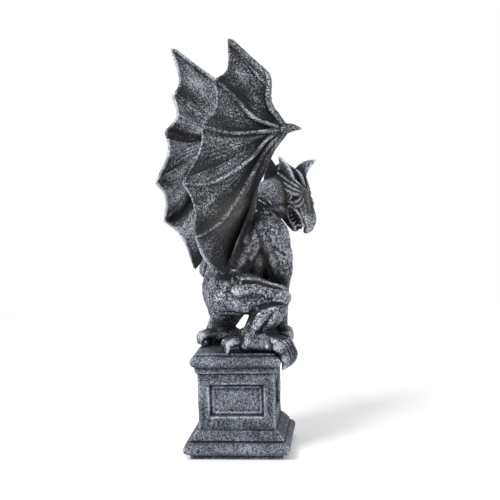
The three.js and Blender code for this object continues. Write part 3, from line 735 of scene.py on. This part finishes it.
def legForms(b, leg):
    # thigh from hip to knee and shin from knee to ankle, a station at each share of the way; the calf, the
    # shin's second, is pushed a little back and outwards
    thigh = [between(leg["hip"], leg["knee"], share) + size for share, *size in b["thigh"]]
    shin = [between(leg["knee"], leg["ankle"], share) + size for share, *size in b["shin"]]
    shin[1][0] -= b["calfOut"]
    shin[1][1] += leg["side"] * b["calfOut"]
    return [limb(thigh, across=(0, 0.3, 1)), limb(shin, across=(1, 0, 0.5))]


def grippingToes(root, edge, centre, count, toes):
    # each toe runs from the ball of the foot to a knuckle above the plate's edge, then hooks down
    forms = []
    radius = toes["radius"]
    for i in range(count):
        along = centre + (i - (count - 1) / 2) * toes["spacing"]
        out = plateHalf + toes["reach"] - (count - 1 - i) * toes["lag"]

        def place(back, up):
            # so far back from the toe's furthest point, as a share of its reach, and so high over the plate
            reach = out - back * toes["reach"]
            spot = (along, reach) if edge == "side" else (reach, along)
            return list(onPlinth(*spot, plinthTop + up))

        knuckle = place(0.34, radius * 1.2)
        start = between(root, knuckle, 0.2)
        middle = between(start, knuckle, 0.5)
        toe = [start + [radius * 1.1], middle + [radius * 0.92], knuckle + [radius * 1.15]]
        for back, up, size in toes["hook"]:
            toe.append(place(back, up * toes["drop"]) + [radius * size])
        forms.append(limb(toe, across=figureAxes[:, 1], domes=(0.6, 0.7), sides=16))
    return forms


def heelClaws(heel, back, spread):
    # three short toes fanned out behind the heel, hooked down onto the plate
    forms = []
    for i in (-1, 0, 1):
        u, v, z = heel
        swing = i * spread
        line = [
            [u, v + swing * 0.3, z, 4.2], [u - back * 0.55, v + swing * 0.8, 8.2, 3.4],
            [u - back * 0.86, v + swing, 7, 3.1], [u - back, v + swing * 1.05, 1.2, 1],
        ]
        forms.append(limb(line, domes=(0.6, 0.5), sides=16))
    return forms


def footForms(b):
    # each sole from the heel through the instep to the ball, its toes over the edge, and its claws behind
    right, left, feet, claws = b["rightLeg"]["ankle"], b["leftLeg"]["ankle"], b["feet"], b["heelClaws"]
    inset, height = plateHalf - feet["ballInset"], plinthTop + feet["ballRise"]
    rightBall = list(onPlinth(inset, feet["near"], height))
    leftBall = list(onPlinth(feet["far"], inset, height))
    sole = lambda ankle, ball: limb([
        [ankle[0] - 4, ankle[1], 6, 7.6, 6.6],
        between(ankle, ball, 0.45)[:2] + [7, 9.2, 7.6],
        ball + [10.2, 5.4],
    ])
    return [
        sole(right, rightBall), sole(left, leftBall),
        *grippingToes(rightBall, "front", feet["near"], 4, b["toes"]),
        *grippingToes(leftBall, "side", feet["far"], 4, b["toes"]),
        *heelClaws([right[0] - 3, right[1] + 2.5, 8], claws["near"], claws["spread"]),
        *heelClaws([left[0] - 2, left[1] - 2, 8], claws["far"], claws["spread"]),
        *tendons(right, b), *(limb(line) for line in b["instep"]),
    ]


def tendons(ankle, b):
    # a cord from the front of the near ankle to each knuckle, swelling towards the toe
    toes, forms = b["toes"], []
    for i in range(4):
        along = b["feet"]["near"] + (i - 1.5) * toes["spacing"]
        reach = plateHalf + toes["reach"] * 0.66 - (3 - i) * toes["lag"]
        knuckle = list(onPlinth(reach, along, plinthTop + toes["radius"] * 1.5))
        start = [ankle[0] + 4, ankle[1] - 3 + i * 1.5, ankle[2] + 3]
        middle = between(start, knuckle, 0.5)
        middle[2] += 1.4
        forms.append(limb([start + [2, 2], middle + [2.4, 2.6], knuckle + [3.2, 3]], sides=14))
    return forms


def armForms(b, arm, middle, count):
    # shoulder to palm in one limb, and fingers that lie over the plinth's front edge
    hands, fingers = b["hands"], b["fingers"]
    palmOut = plateHalf + hands["palmReach"]
    palm = list(onPlinth(palmOut, middle, plinthTop + hands["palmRise"]))
    forms = [limb([*arm, between(arm[-1], palm, 0.8) + [4.8, 4.6], palm + [5.6, 4.4]])]
    heelAt = lambda back, aside: [
        *onPlinth(palmOut - back * hands["heel"], middle - aside, plinthTop + hands["heelRise"])
    ]
    forms.append(limb([heelAt(1, 6) + [6.4, 6], heelAt(0.4, 2) + [6.2, 6], palm + [5, 4]]))
    radius, long, high = fingers["radius"], fingers["reach"], hands["palmRise"]
    for i in range(count):
        along = middle + (i - (count - 1) / 2) * fingers["spacing"]
        reach = plateHalf + long - abs(i - 1.2) * fingers["lag"]
        root = onPlinth(palmOut, along * 0.7 + middle * 0.3, plinthTop + high * 0.9)
        finger = [
            [*root, radius], [*onPlinth(reach - long * 0.16, along, plinthTop + high * 0.8), radius],
            [*onPlinth(reach, along, plinthTop + high * 0.25), radius * 0.85],
            [*onPlinth(reach - long * 0.23, along, plinthTop - fingers["drop"]), radius * 0.27],
        ]
        forms.append(limb(finger, domes=(0.6, 0.6), sides=16))
    return forms


def muscleForms(b):
    # swellings laid over the limbs and trunk: each is a limb of its own whose ends sink under the skin
    pairs = [[[u, side * v, *rest] for u, v, *rest in line] for line in b["musclePairs"] for side in (-1, 1)]
    return [limb(line, sides=24) for line in pairs] + [limb(line, sides=20) for line in b["nearMuscles"]]


# Head, in its own axes: along the muzzle, up through the brow, and to its left
head = {
    "centre": [41.3, -10, 121.5], "turn": -63, "drop": 62,
    "skull": [
        [-13, -3.5, 0, 7.5, 7.5], [-6, -2.5, 0, 11, 10.8], [3, -3.6, 0, 11.6, 11.6], [11, -2.4, 0, 10, 10],
        [18, 3.2, 0, 8.6, 4], [26, 3.4, 0, 7.6, 2.6], [31.5, 2.8, 0, 6.8, 2.6], [36, -1.6, 0, 4.6, 3.6],
        [37.4, -6, 0, 2.4, 2],
    ],
    "jaw": [
        [-4, -8, 0, 10.5, 9], [7, -11, 0, 10.4, 8.6], [16, -13.4, 0, 8.9, 6],
        [25, -13.8, 0, 6.6, 3.9], [31.5, -13.2, 0, 3.8, 2.6],
    ],
    "crest": [[-12, 4, 0, 1.4, 2], [-2, 9.4, 0, 2, 2.4], [9, 8.4, 0, 2.4, 2.2]],
    "bridge": [[7, 8.4, 0, 2.4, 2.4], [12.5, 7.6, 0, 3.2, 2.6], [18, 6.2, 0, 2.8, 2.4], [25, 5, 0, 2, 1.6]],
    "tongue": [[9, -5, 0, 6, 5], [18, -6, 0, 4, 4], [25, -8.4, 0, 3.2, 2.6], [29, -9.6, 0, 1.8, 1.3]],
    # of what comes in pairs, the left one
    "ear": [[-4.6, 3.4, 7, 9.4, 2.8], [-9, 9, 10.6, 6.6, 2.2], [-13.8, 14.2, 15, 1.4, 1]],
    "earLean": 3.6, "leftEarWidth": 0.72,
    "browTop": [[10, 9.4, 2.2], [2.5, 8.6, 6.6], [-5, 6.4, 9.6], [-12, 2.8, 10.8]],
    "browFoot": [[13.2, 7.2, 3.6], [11, 5, 9.6], [5, 1.2, 12.4], [-3, -2.8, 12.8]],
    "browSize": [[1.1, 1.5], [1.2, 1.7], [1.1, 1.6], [0.8, 1]],
    "browCount": 4,
    "eye": [[9.6, 1.4, 10.6, 1.8, 1.8], [10.4, 1.6, 10.5, 1.8, 1.8]],
    "lids": {"centre": [9.8, 1.2, 11.2], "radii": [3.2, 2.7, -0.4], "half": 0.85, "points": 10, "turn": 6.28},
    "folds": [
        [[21, 6, 4.6, 0.9], [27, 5, 5, 1], [33, 3.4, 4.4, 0.9]],
        [[22, 4, 7.4, 0.9], [28, 3.4, 7, 1], [34, 1.6, 5.4, 0.9]],
        [[5, -2.4, 11.6, 1, 1.1], [11, -3.2, 10.8, 1.1, 1.2], [15, -1.6, 9.4, 0.9, 1]],
        [
            [13.4, 6.8, 4.4, 1.2, 1.4], [16.4, 5.4, 7.4, 1.3, 1.4],
            [16.6, 2, 9.8, 1.3, 1.4], [13.6, -1, 11, 1, 1.1],
        ],
        [
            [14.6, 6.8, 3, 1.2, 1.4], [19.4, 5.8, 6.4, 1.3, 1.4],
            [20, 3, 8.8, 1.3, 1.4], [17.4, 0.6, 9.8, 1, 1.1],
        ],
        [[28.5, 3.8, 3.6, 2.2, 1.8], [32.4, 3, 3.4, 2.4, 2]],
    ],
    # the rim of the mouth, from the jaw's tip back to the corner and forwards under the snout
    "lips": [
        [33, -11, 3.6, 1], [26.5, -10, 6.6, 1.1], [20, -7.8, 8.6, 1.2], [16.4, -3.6, 9.2, 1.2],
        [19.6, -0.2, 8.8, 1.2], [27.5, 0.9, 7.6, 1.1], [34, -1.6, 5.6, 1],
    ],
    "teeth": {
        "count": 5, "first": 20.6, "spacing": 2.9, "aside": 7.2, "narrowing": 0.75,
        "upper": 1, "lower": -9, "drop": 0.3, "length": 3.9, "fang": 6.4, "foot": 1.3, "point": 0.5,
    },
    # tints: painted shade in the mouth and on the fin, a little darker over the head, pale teeth and lips
    "tintAndShade": {"mouth": -0.7, "fin": -0.9, "all": -0.1, "teeth": 0.85, "lipShare": 0.45},
    # a paler cheek and jaw side, lifting the painted shade there: place, radii and height
    "cheek": ([20, -14, 0], [14, 7, 12], 0.34),
    # where that paint lies, each fade as its start and its reach
    "mouthFades": {"back": (17, 2), "top": (-0.6, 1.5), "foot": (-9.6, 1.5)},
    "mouthFront": 35, "mouthHalf": 8,
    "finFades": {"gap": (-6.5, 2), "height": (122, 4)},
    "teethCentre": [25, -5, 0], "teethWithin": 20, "toothReach": 1.5, "lipReach": 1.6, "headReach": 26,
}


def headFrame():
    # rows: along the muzzle, which is the way it faces tipped down by the drop, up through the brow, left
    turn, drop = math.radians(head["turn"]), math.radians(head["drop"])
    facing = np.array([math.cos(turn), math.sin(turn), 0])
    up = np.array([0, 0, 1.0])
    muzzle = facing * math.cos(drop) - up * math.sin(drop)
    brow = facing * math.sin(drop) + up * math.cos(drop)
    left = np.array([-math.sin(turn), math.cos(turn), 0])
    return np.array([muzzle, brow, left])


headAxes = headFrame()


def headForm(stations, across=(0, 0, 1), **options):
    # a limb whose stations are turned by the head's axes and moved to its centre
    placed = [[*(np.asarray(s[:3], float) @ headAxes + head["centre"]), *s[3:]] for s in stations]
    return limb(placed, across=np.asarray(across, float) @ headAxes, **options)


def mirrored(line, side):
    # a line of the left side, its sideways place times 1 or -1
    return [[x, y, side * z, *rest] for x, y, z, *rest in line]


def headForms(h):
    # skull, jaw, crest, bridge and tongue along the middle, then each side's ear, brows, eye and folds;
    # the brows lie at even shares between the top line and the foot line
    forms = [headForm(h["skull"], domes=(0.8, 0.6)), headForm(h["jaw"]), headForm(h["crest"], sides=14)]
    forms += [headForm(h["bridge"], sides=16), headForm(h["tongue"], sides=16)]
    for side in (-1, 1):
        forms.append(headForm(earLine(h, side), across=(0.8, 0.55, 0), sides=20))
        top, foot = np.array(h["browTop"]), np.array(h["browFoot"])
        for share in np.linspace(0, 1, h["browCount"]):
            brow = np.c_[top + (foot - top) * share, h["browSize"]]
            forms.append(headForm(mirrored(brow, side), sides=14))
        for line in (h["eye"], lidLine(h["lids"]), *h["folds"]):
            forms.append(headForm(mirrored(line, side), sides=14))
        forms.append(headForm(mirrored(h["lips"], side), sides=12))
    return forms + [headForm(tooth, sides=10) for tooth in teethLines(h["teeth"])]


def earLine(h, side):
    # foot, middle and tip: the left ear leans up and forwards by the lean, the right one down and back
    lean, width = side * h["earLean"], h["leftEarWidth"] if side > 0 else 1
    foot, middle, tip = mirrored(h["ear"], side)
    foot[3], middle[3] = foot[3] * width, middle[3] * width
    middle[1] += lean * 0.3
    return [foot, middle, [tip[0] + lean, tip[1] + lean, *tip[2:]]]


def lidLine(lids):
    # a ring round the eye: centre + radius * (cos a, sin a, cos a)
    turns = np.linspace(0, lids["turn"], lids["points"])
    ring = np.c_[np.cos(turns), np.sin(turns), np.cos(turns)] * lids["radii"] + lids["centre"]
    return np.c_[ring, np.full(lids["points"], lids["half"])]


def teethLines(t):
    # on each side a row in each jaw, every tooth from its foot to its point, the foremost one a fang
    teeth = []
    for side in (-1, 1):
        for i in range(t["count"]):
            along, aside = t["first"] + i * t["spacing"], side * (t["aside"] - i * t["narrowing"])
            length = t["fang"] if i == t["count"] - 1 else t["length"]
            upper, lower = t["upper"] - i * t["drop"], t["lower"] - i * t["drop"]
            teeth.append([
                [along, upper, aside, t["foot"]],
                [along + 0.4, upper - length, aside * 0.96, t["point"]],
            ])
            teeth.append([
                [along - 1.3, lower, aside * 0.9, t["foot"] - 0.1],
                [along - 1.5, lower + length * 0.85, aside * 0.88, t["point"]],
            ])
    return teeth


def paintOf(local):
    # tint by place: painted shade in the open mouth and on the fin, which are near black, pale on teeth, lips
    # and cheek, the cheek lifting the painted shade there, and then the body's own bells, one of them a
    # painted highlight on the nape
    inHead = (local - head["centre"]) @ headAxes.T
    x, y, z = inHead.T
    tintAndShade, fades = head["tintAndShade"], head["mouthFades"]
    mouth = rise(x, *fades["back"]) * rise(-y, *fades["top"]) * rise(y, *fades["foot"])
    mouth *= (np.abs(z) < head["mouthHalf"]) & (x < head["mouthFront"])
    close = np.zeros(len(local))
    near = np.linalg.norm(inHead - head["teethCentre"], axis=1) < head["teethWithin"]
    gap = lambda line: lineDistance(inHead[near], np.array(line)[:, :3])[0]
    teethGap = np.min([gap(line) for line in teethLines(head["teeth"])], axis=0)
    lipGap = np.min([gap(mirrored(head["lips"], side)) for side in (-1, 1)], axis=0)
    close[near] = np.maximum(teethGap < head["toothReach"], tintAndShade["lipShare"] * (lipGap < head["lipReach"]))
    finGap = lineDistance(local, np.array(body["napeFin"])[:, :3])[0]
    fin = rise(-finGap, *head["finFades"]["gap"]) * rise(local[:, 2], *head["finFades"]["height"])
    # painted shade: near black in the open mouth and on the fin
    tint = tintAndShade["mouth"] * mouth + tintAndShade["fin"] * fin
    tint += tintAndShade["all"] * np.exp(-((np.linalg.norm(inHead, axis=1) / head["headReach"]) ** 4))
    tint = np.where(close > 0, tintAndShade["teeth"] * close, tint) + lump(inHead, *head["cheek"])
    for place, radius, height in body["paint"]:
        tint += lump(local, place, radius, height)
    return tint


def restOnPlinth(points):
    # nothing of the figure reaches into the plate or the roll under it
    x, y, z = points.T
    outer = np.maximum(np.abs(x), np.abs(y))
    over = (outer < plateHalf + 0.1) & (z < plinthTop)
    points[over, 2] = plinthTop
    return points


def carve(points, out, lines):
    # how far each point moves: its normal times the sum of the folds there
    return out * sum(fold(points, *line) for line in lines)[:, None]


def makeBody(b):
    # every form cast as one, smoothed, carved and roughened, each point moving along its normal
    forms = [limb(b[part], sides=40) for part in ("torso", "chest", "neck", "throat")]
    forms += [limb(b["flank"]), limb([[u, -v, *rest] for u, v, *rest in b["flank"]])]
    forms += legForms(b, b["rightLeg"]) + legForms(b, b["leftLeg"]) + footForms(b)
    forms += armForms(b, b["rightArm"], b["hands"]["near"], 4)
    forms += armForms(b, b["leftArm"], b["hands"]["far"], 3)
    forms += muscleForms(b) + headForms(head)
    forms += [limb(b["napeFin"], across=(1, 0, 0), domes=(0.2, 0.6), sides=16)]
    points, faces = cast("body", [shell(toWorld(f)) for f in forms], b["grain"])
    print("body cast", len(points))
    edges = neighbours(faces)
    local = toFigure(points)
    fromHead = np.linalg.norm(local - head["centre"], axis=1)
    coarse = rise(fromHead, *b["fadeFromHead"]) * rise(local[:, 2], *b["fadeOverFeet"])
    points = soften(points, edges, 3, 0.6)
    points = soften(points, edges, 24, coarse, keep=False)
    out = normals(points, faces)
    moved = carve(toFigure(points), toFigure(points + out) - toFigure(points), b["carving"])
    points = points + moved @ figureAxes
    out = normals(points, faces)
    points = points + out * (roughness(points, b["rough"]) * np.clip(coarse, b["leastRough"], 1))[:, None]
    return restOnPlinth(points), faces, edges, paintOf(local)


bodySkin = makeBody(body)
print("body shaped")


# Wings

wrist = [17.6, -56, 160.8]
wings = {
    "grain": 0.55,
    "thickness": 2.0,
    # the near wing's fingers from the wrist to their tips, foremost first, and its arm last
    "lines": [
        [
            wrist, [8.7, -57.8, 171.1], [3, -59.6, 180.5], [2.3, -61.4, 196.2],
            [-9.6, -63.2, 206], [-26.4, -65, 220],
        ],
        [wrist, [5.5, -56.5, 164.4], [-6.7, -56.2, 168.8], [-18.8, -54.3, 182.6], [-31, -50.5, 195]],
        [wrist, [-0.4, -56.2, 159.3], [-21.1, -52.6, 158.6], [-39.6, -44.5, 163.5]],
        [
            wrist, [4.4, -54.6, 154.8], [-5.4, -52.1, 143.2], [-22.6, -47.8, 130.5],
            [-36.9, -41.7, 124], [-51.6, -34.4, 124.7],
        ],
        [
            wrist, [4.7, -53.4, 148.6], [-9.6, -49, 124.6], [-25.2, -44.1, 100],
            [-37.8, -41, 90.5], [-44.4, -38, 87.2],
        ],
        [wrist, [5.4, -47.6, 142.4], [0.6, -37.2, 124], [1.2, -24, 101], [-8, -24, 78], [-22.6, -33, 59.3]],
    ],
    "leftTipRise": [9, -4, 0, 0, 8, -3],
    "leftLeadReach": 10,
    "leadTaper": 0.15,
    "radii": [2.6, 2.1, 2, 1.9, 1.8, 3],
    "boneEnd": 0.98, "armEnd": 0.62, "armSwell": 0.35, "rimRadius": 1.25,
    "thumb": [[-3, 0, 0, 4], [4.5, 0, 0.8, 2.9], [11.5, 0, 0.2, 0.8]],
    "webStart": 0.05,
    # by side, -1 for the near right wing and 1 for the far left one: how far each web's edge is drawn in
    "hollow": {-1: [7.5, 6.5, 6, 5.5, -4], 1: [7.5, 6.5, 6, 5.5, 6]},
    # painted light and shade by side: the far left wing lighter, the near right one a little darker
    "tintAndShade": {-1: -0.03, 1: 0.3},
    "boneTaper": 0.25,
    "sag": [3.2, 3, 3.4, 3, 2],
    # streaks from the wrist outwards: how many across, how many along a mm, height and seed
    "streaks": [(16, 0.045, 1, 31), (34, 0.08, 0.6, 32)], "streakRelief": 0.2, "streakPaint": 0.1,
    "rough": [(1.2, 0.1, 21), (3.5, 0.12, 22)],
    # paint by place between two fingers, painted shade where the web dips and painted light below the upper
    # finger: where, how wide, how strong; over the bones, width and strength
    "dip": (0.84, 0.2, -0.8), "pale": (0.3, 0.2, 0.08), "bones": (2.6, -0.16),
    # noisy patches that set how deep the painted shade is, none over the bones
    "patch": {"size": 20, "seed": 41, "gain": 0.8, "base": 0.75, "most": 1.3, "offBones": 3},
    "look": {
        "dark": (0.004, 0.0045, 0.006), "mid": (0.06, 0.064, 0.073), "light": (0.45, 0.48, 0.54),
        "grainMm": 0.75, "pebbleMm": 1.05, "pebbles": 0.7, "grain": 0.8, "heightMid": 0.57,
        "heightGain": 1.05, "driftMm": 16, "driftGain": 0.7, "wearGain": 0.46, "base": 0.5, "shadeGain": 0.4,
        "bump": 0.5,
        "stains": [
            {"at": (0.007, -0.04, 0.175), "radius": 0.026, "strength": 0.8, "colour": (0.055, 0.045, 0.042)},
        ],
    },
}


def fingerTable(w, side):
    # each finger's points on that side; the far wing's rise by the square of the share along the finger, and
    # its foremost one bends forwards by the sine of that share
    tables = []
    for k, line in enumerate(w["lines"]):
        table = np.array(line, float)
        table[:, 1] *= -side
        share = np.arange(len(table)) / (len(table) - 1)
        if side > 0:
            table[:, 2] += w["leftTipRise"][k] * share**2
            if k == 0:
                table[:, 0] += w["leftLeadReach"] * np.sin(np.pi * share)
        tables.append(table)
    return tables


def webSheet(w, side, tables, columns=26, rows=64):
    # between two fingers: a straight line from one to the other, drawn back at the free edge in a hollow
    # and sagging in the middle; one column of points per step across, one row per step from the wrist
    root = tables[0][0]
    along = np.linspace(w["webStart"], 1, rows)
    sheet = []
    for k in range(len(tables) - 1):
        a, _ = smoothPath(tables[k], along)
        b, _ = smoothPath(tables[k + 1], along)
        last = k == len(tables) - 2
        for share in np.linspace(0, 1, columns, endpoint=last):
            bow = math.sin(math.pi * share)
            edge = tables[k][-1] * (1 - share) + tables[k + 1][-1] * share
            point = a * (1 - share) + b * share
            pull = (w["hollow"][side][k] * bow * along**3 / np.linalg.norm(edge - root))[:, None]
            point = point * (1 - pull) + root * pull
            point[:, 1] -= side * w["sag"][k] * bow * np.sin(np.pi * np.minimum(along, 0.75) * 0.9)
            sheet.append(point)
    return np.array(sheet)


def sheetShell(sheet, thickness):
    # the sheet moved half its thickness either way along its normals, closed round its rim
    across = np.gradient(sheet, axis=0)
    along = np.gradient(sheet, axis=1)
    face = unit(np.cross(across, along)) * thickness / 2
    return shell(np.concatenate([sheet + face, (sheet - face)[:, ::-1]], axis=1))


def wingForms(w, side):
    # the web, a tube along each finger and the arm, one round the free edge, and the thumb; a finger thins
    # evenly towards its tip, radius * (1 - taper * t), and the arm swells towards the shoulder
    tables = fingerTable(w, side)
    sheet = webSheet(w, side, tables)
    shells = [sheetShell(sheet, w["thickness"])]
    for k, table in enumerate(tables):
        arm = k == len(tables) - 1
        t = np.linspace(0, w["armEnd"] if arm else w["boneEnd"], 14)
        line, _ = smoothPath(table, t)
        taper = w["boneTaper"] if k else w["leadTaper"]
        radius = w["radii"][k] * (1 + w["armSwell"] * t if arm else 1 - taper * t)
        bone = limb(np.c_[line, radius], across=(1, 0, 0.2), sides=16, steps=3, domes=(0.8, 0.9))
        shells.append(shell(bone))
    rim = sheet[:, -1][::2]
    shells.append(shell(limb(np.c_[rim, np.full(len(rim), w["rimRadius"])], sides=10, steps=1)))
    thumb = np.array(w["thumb"]) + [*tables[0][0], 0]
    shells.append(shell(limb(thumb, domes=(0.8, 0.5), sides=18)))
    return shells


def makeWing(w, side):
    # the wing cast, smoothed, and each point moved along its normal by the roughness and the streaks, which
    # are noise read at (angle round the wrist, distance from it)
    shells = [(toWorld(p), f) for p, f in wingForms(w, side)]
    points, faces = cast("wing", shells, w["grain"])
    edges = neighbours(faces)
    points = soften(points, edges, 6)
    out = normals(points, faces)
    local = toFigure(points)
    tables = fingerTable(w, side)
    root = tables[0][0]
    spoke = local - root
    far = np.linalg.norm(spoke, axis=1)
    turn = np.arctan2(spoke[:, 2], -spoke[:, 0])
    streak = sum(
        latticeNoise(np.c_[turn * across, far * along, 0 * far], 1.0, seed) * height
        for across, along, height, seed in w["streaks"]
    )
    points = points + out * (roughness(points, w["rough"]) + streak * w["streakRelief"])[:, None]
    return points, faces, edges, wingPaint(w, side, tables, local, streak)


def wingPaint(w, side, tables, local, streak):
    # each web is near black, as painted shade, where it dips to meet the finger under it, and paler, as
    # painted light, below the finger over it;
    # the share runs from 0 at the upper finger to 1 at the lower one, by the distances to the two
    gaps = np.array([lineDistance(local, smoothPath(table, np.linspace(0, 1, 24))[0])[0] for table in tables])
    pair = gaps[:-1] + gaps[1:]
    cell = pair.argmin(0)
    over, both = gaps[cell, np.arange(len(local))], pair.min(0)
    share = over / np.maximum(both, 0.1)
    p, onBone = w["patch"], gaps.min(0)
    patch = np.clip(latticeNoise(local, p["size"], p["seed"]) * p["gain"] + p["base"], 0, p["most"])
    patch *= rise(onBone, 0, p["offBones"])
    # the side's painted light and shade, the streaks, and darker over the bones
    tint = w["tintAndShade"][side] + w["streakPaint"] * streak + w["bones"][1] * bell(onBone, 0, w["bones"][0])
    (dipAt, dipWide, dip), (paleAt, paleWide, pale) = w["dip"], w["pale"]
    # painted shade where the web dips, painted light below the upper finger
    return tint + dip * patch * bell(share, dipAt, dipWide) + pale * bell(share, paleAt, paleWide)


wingSkins = {side: makeWing(wings, side) for side in (-1, 1)}
print("wings shaped")

skins = [plinthSkin, bodySkin, *wingSkins.values()]
grains = [plinth["grain"], body["grain"], wings["grain"], wings["grain"]]
around = (
    np.vstack([skin[0] for skin in skins]),
    np.concatenate([np.full(len(skin[0]), grain**2) for skin, grain in zip(skins, grains)]),
)
plinthStone = stoneFinish("plinthStone", plinth["look"])
figureStone = stoneFinish("figureStone", body["look"])
wingStone = stoneFinish("wingStone", wings["look"])
finishPiece("stonePlinth", plinthSkin, plinthStone, "plinth", around)
finishPiece("stoneBody", bodySkin, figureStone, "gargoyle_body", around)
finishPiece("stoneWingRight", wingSkins[-1], wingStone, "wing_right", around)
finishPiece("stoneWingLeft", wingSkins[1], wingStone, "wing_left", around)
print("pieces finished")


# Floor, light and camera

studio = {
    "cameraMm": (82.8, -734.9, 212.2),
    "yaw": 5.67, "pitch": 4.81, "roll": -1.38,
    "lensPx": 990.0, "framePx": 500, "sensorMm": 36.0,
    "floor": (0.9, 0.9, 0.91),
    "floorRadius": 0.8, "floorSides": 96,
    "ambient": 0.42, "backdrop": 1.0,
    # each lamp's place and size in metres, and its power in watts
    "lamps": {
        "key": ((-0.6, -0.75, 1.0), 0.6, 19),
        "front": ((0.9, -0.45, 0.6), 0.6, 5),
        "back": ((0.1, 0.9, 0.9), 0.8, 6),
    },
    "lampAim": (0, 0, 0.16),
}


def makeFloor(s):
    # a pale disc: radius * (cos a, sin a)
    turns = np.linspace(0, 2 * np.pi, s["floorSides"], endpoint=False)
    disc = s["floorRadius"] * np.c_[np.cos(turns), np.sin(turns), 0 * turns]
    floor = placed("floor", makeMesh("floor", disc, np.arange(s["floorSides"])[None]))
    paper = bpy.data.materials.new("paper")
    paper.use_nodes = True
    shader = paper.node_tree.nodes["Principled BSDF"]
    shader.inputs["Base Color"].default_value = (*s["floor"], 1)
    shader.inputs["Roughness"].default_value = 0.9
    floor.data.materials.append(paper)


def makeSky(s):
    # even white light, as strong as the ambient on the statue and as the backdrop where the camera sees it
    world = bpy.data.worlds.new("studio")
    world.use_nodes = True
    sky, path = world.node_tree.nodes["Background"], world.node_tree.nodes.new("ShaderNodeLightPath")
    glow = world.node_tree.nodes.new("ShaderNodeMapRange")
    glow.inputs["To Min"].default_value, glow.inputs["To Max"].default_value = s["ambient"], s["backdrop"]
    world.node_tree.links.new(path.outputs["Is Camera Ray"], glow.inputs["Value"])
    world.node_tree.links.new(glow.outputs["Result"], sky.inputs["Strength"])
    sky.inputs["Color"].default_value = (1, 1, 1, 1)
    bpy.context.scene.world = world
    bpy.context.scene.view_settings.view_transform = "Standard"


def makeLamps(s):
    # square soft lamps, each facing from its place to the aim
    for name, (place, size, power) in s["lamps"].items():
        lamp = bpy.data.lights.new(name, "AREA")
        lamp.size, lamp.energy = size, power
        holder = placed(name, lamp)
        holder.location = place
        aim = np.array(s["lampAim"]) - np.array(place)
        holder.rotation_euler = Matrix(lookAxes(aim)).transposed().to_euler()


def lookAxes(aim):
    # rows: the lamp's right, up and back, with its back away from the aim
    back = unit(-aim)
    side = unit(np.cross([0, 0, 1.0], back))
    return [side.tolist(), np.cross(back, side).tolist(), back.tolist()]


def makeCamera(s):
    # forward is (-sin yaw cos pitch, cos yaw cos pitch, -sin pitch), and right and up are turned by the roll
    yaw, pitch, turn = (math.radians(s[k]) for k in ("yaw", "pitch", "roll"))
    forward = np.array([
        -math.sin(yaw) * math.cos(pitch), math.cos(yaw) * math.cos(pitch), -math.sin(pitch),
    ])
    level = np.array([math.cos(yaw), math.sin(yaw), 0])
    steep = np.cross(level, forward)
    right = math.cos(turn) * level + math.sin(turn) * steep
    up = math.cos(turn) * steep - math.sin(turn) * level
    lens = bpy.data.cameras.new("photoCamera")
    lens.sensor_fit, lens.sensor_width = "HORIZONTAL", s["sensorMm"]
    lens.lens = s["lensPx"] / s["framePx"] * s["sensorMm"]
    lens.clip_start, lens.clip_end = 0.05, 50
    camera = placed("photoCamera", lens)
    axes = Matrix(np.array([right, up, -forward]).T.tolist()).to_4x4()
    camera.matrix_world = Matrix.Translation(np.array(s["cameraMm"]) * metresPerMm) @ axes
    bpy.context.scene.camera = camera


makeFloor(studio)
makeSky(studio)
makeLamps(studio)
makeCamera(studio)
print("studio done")
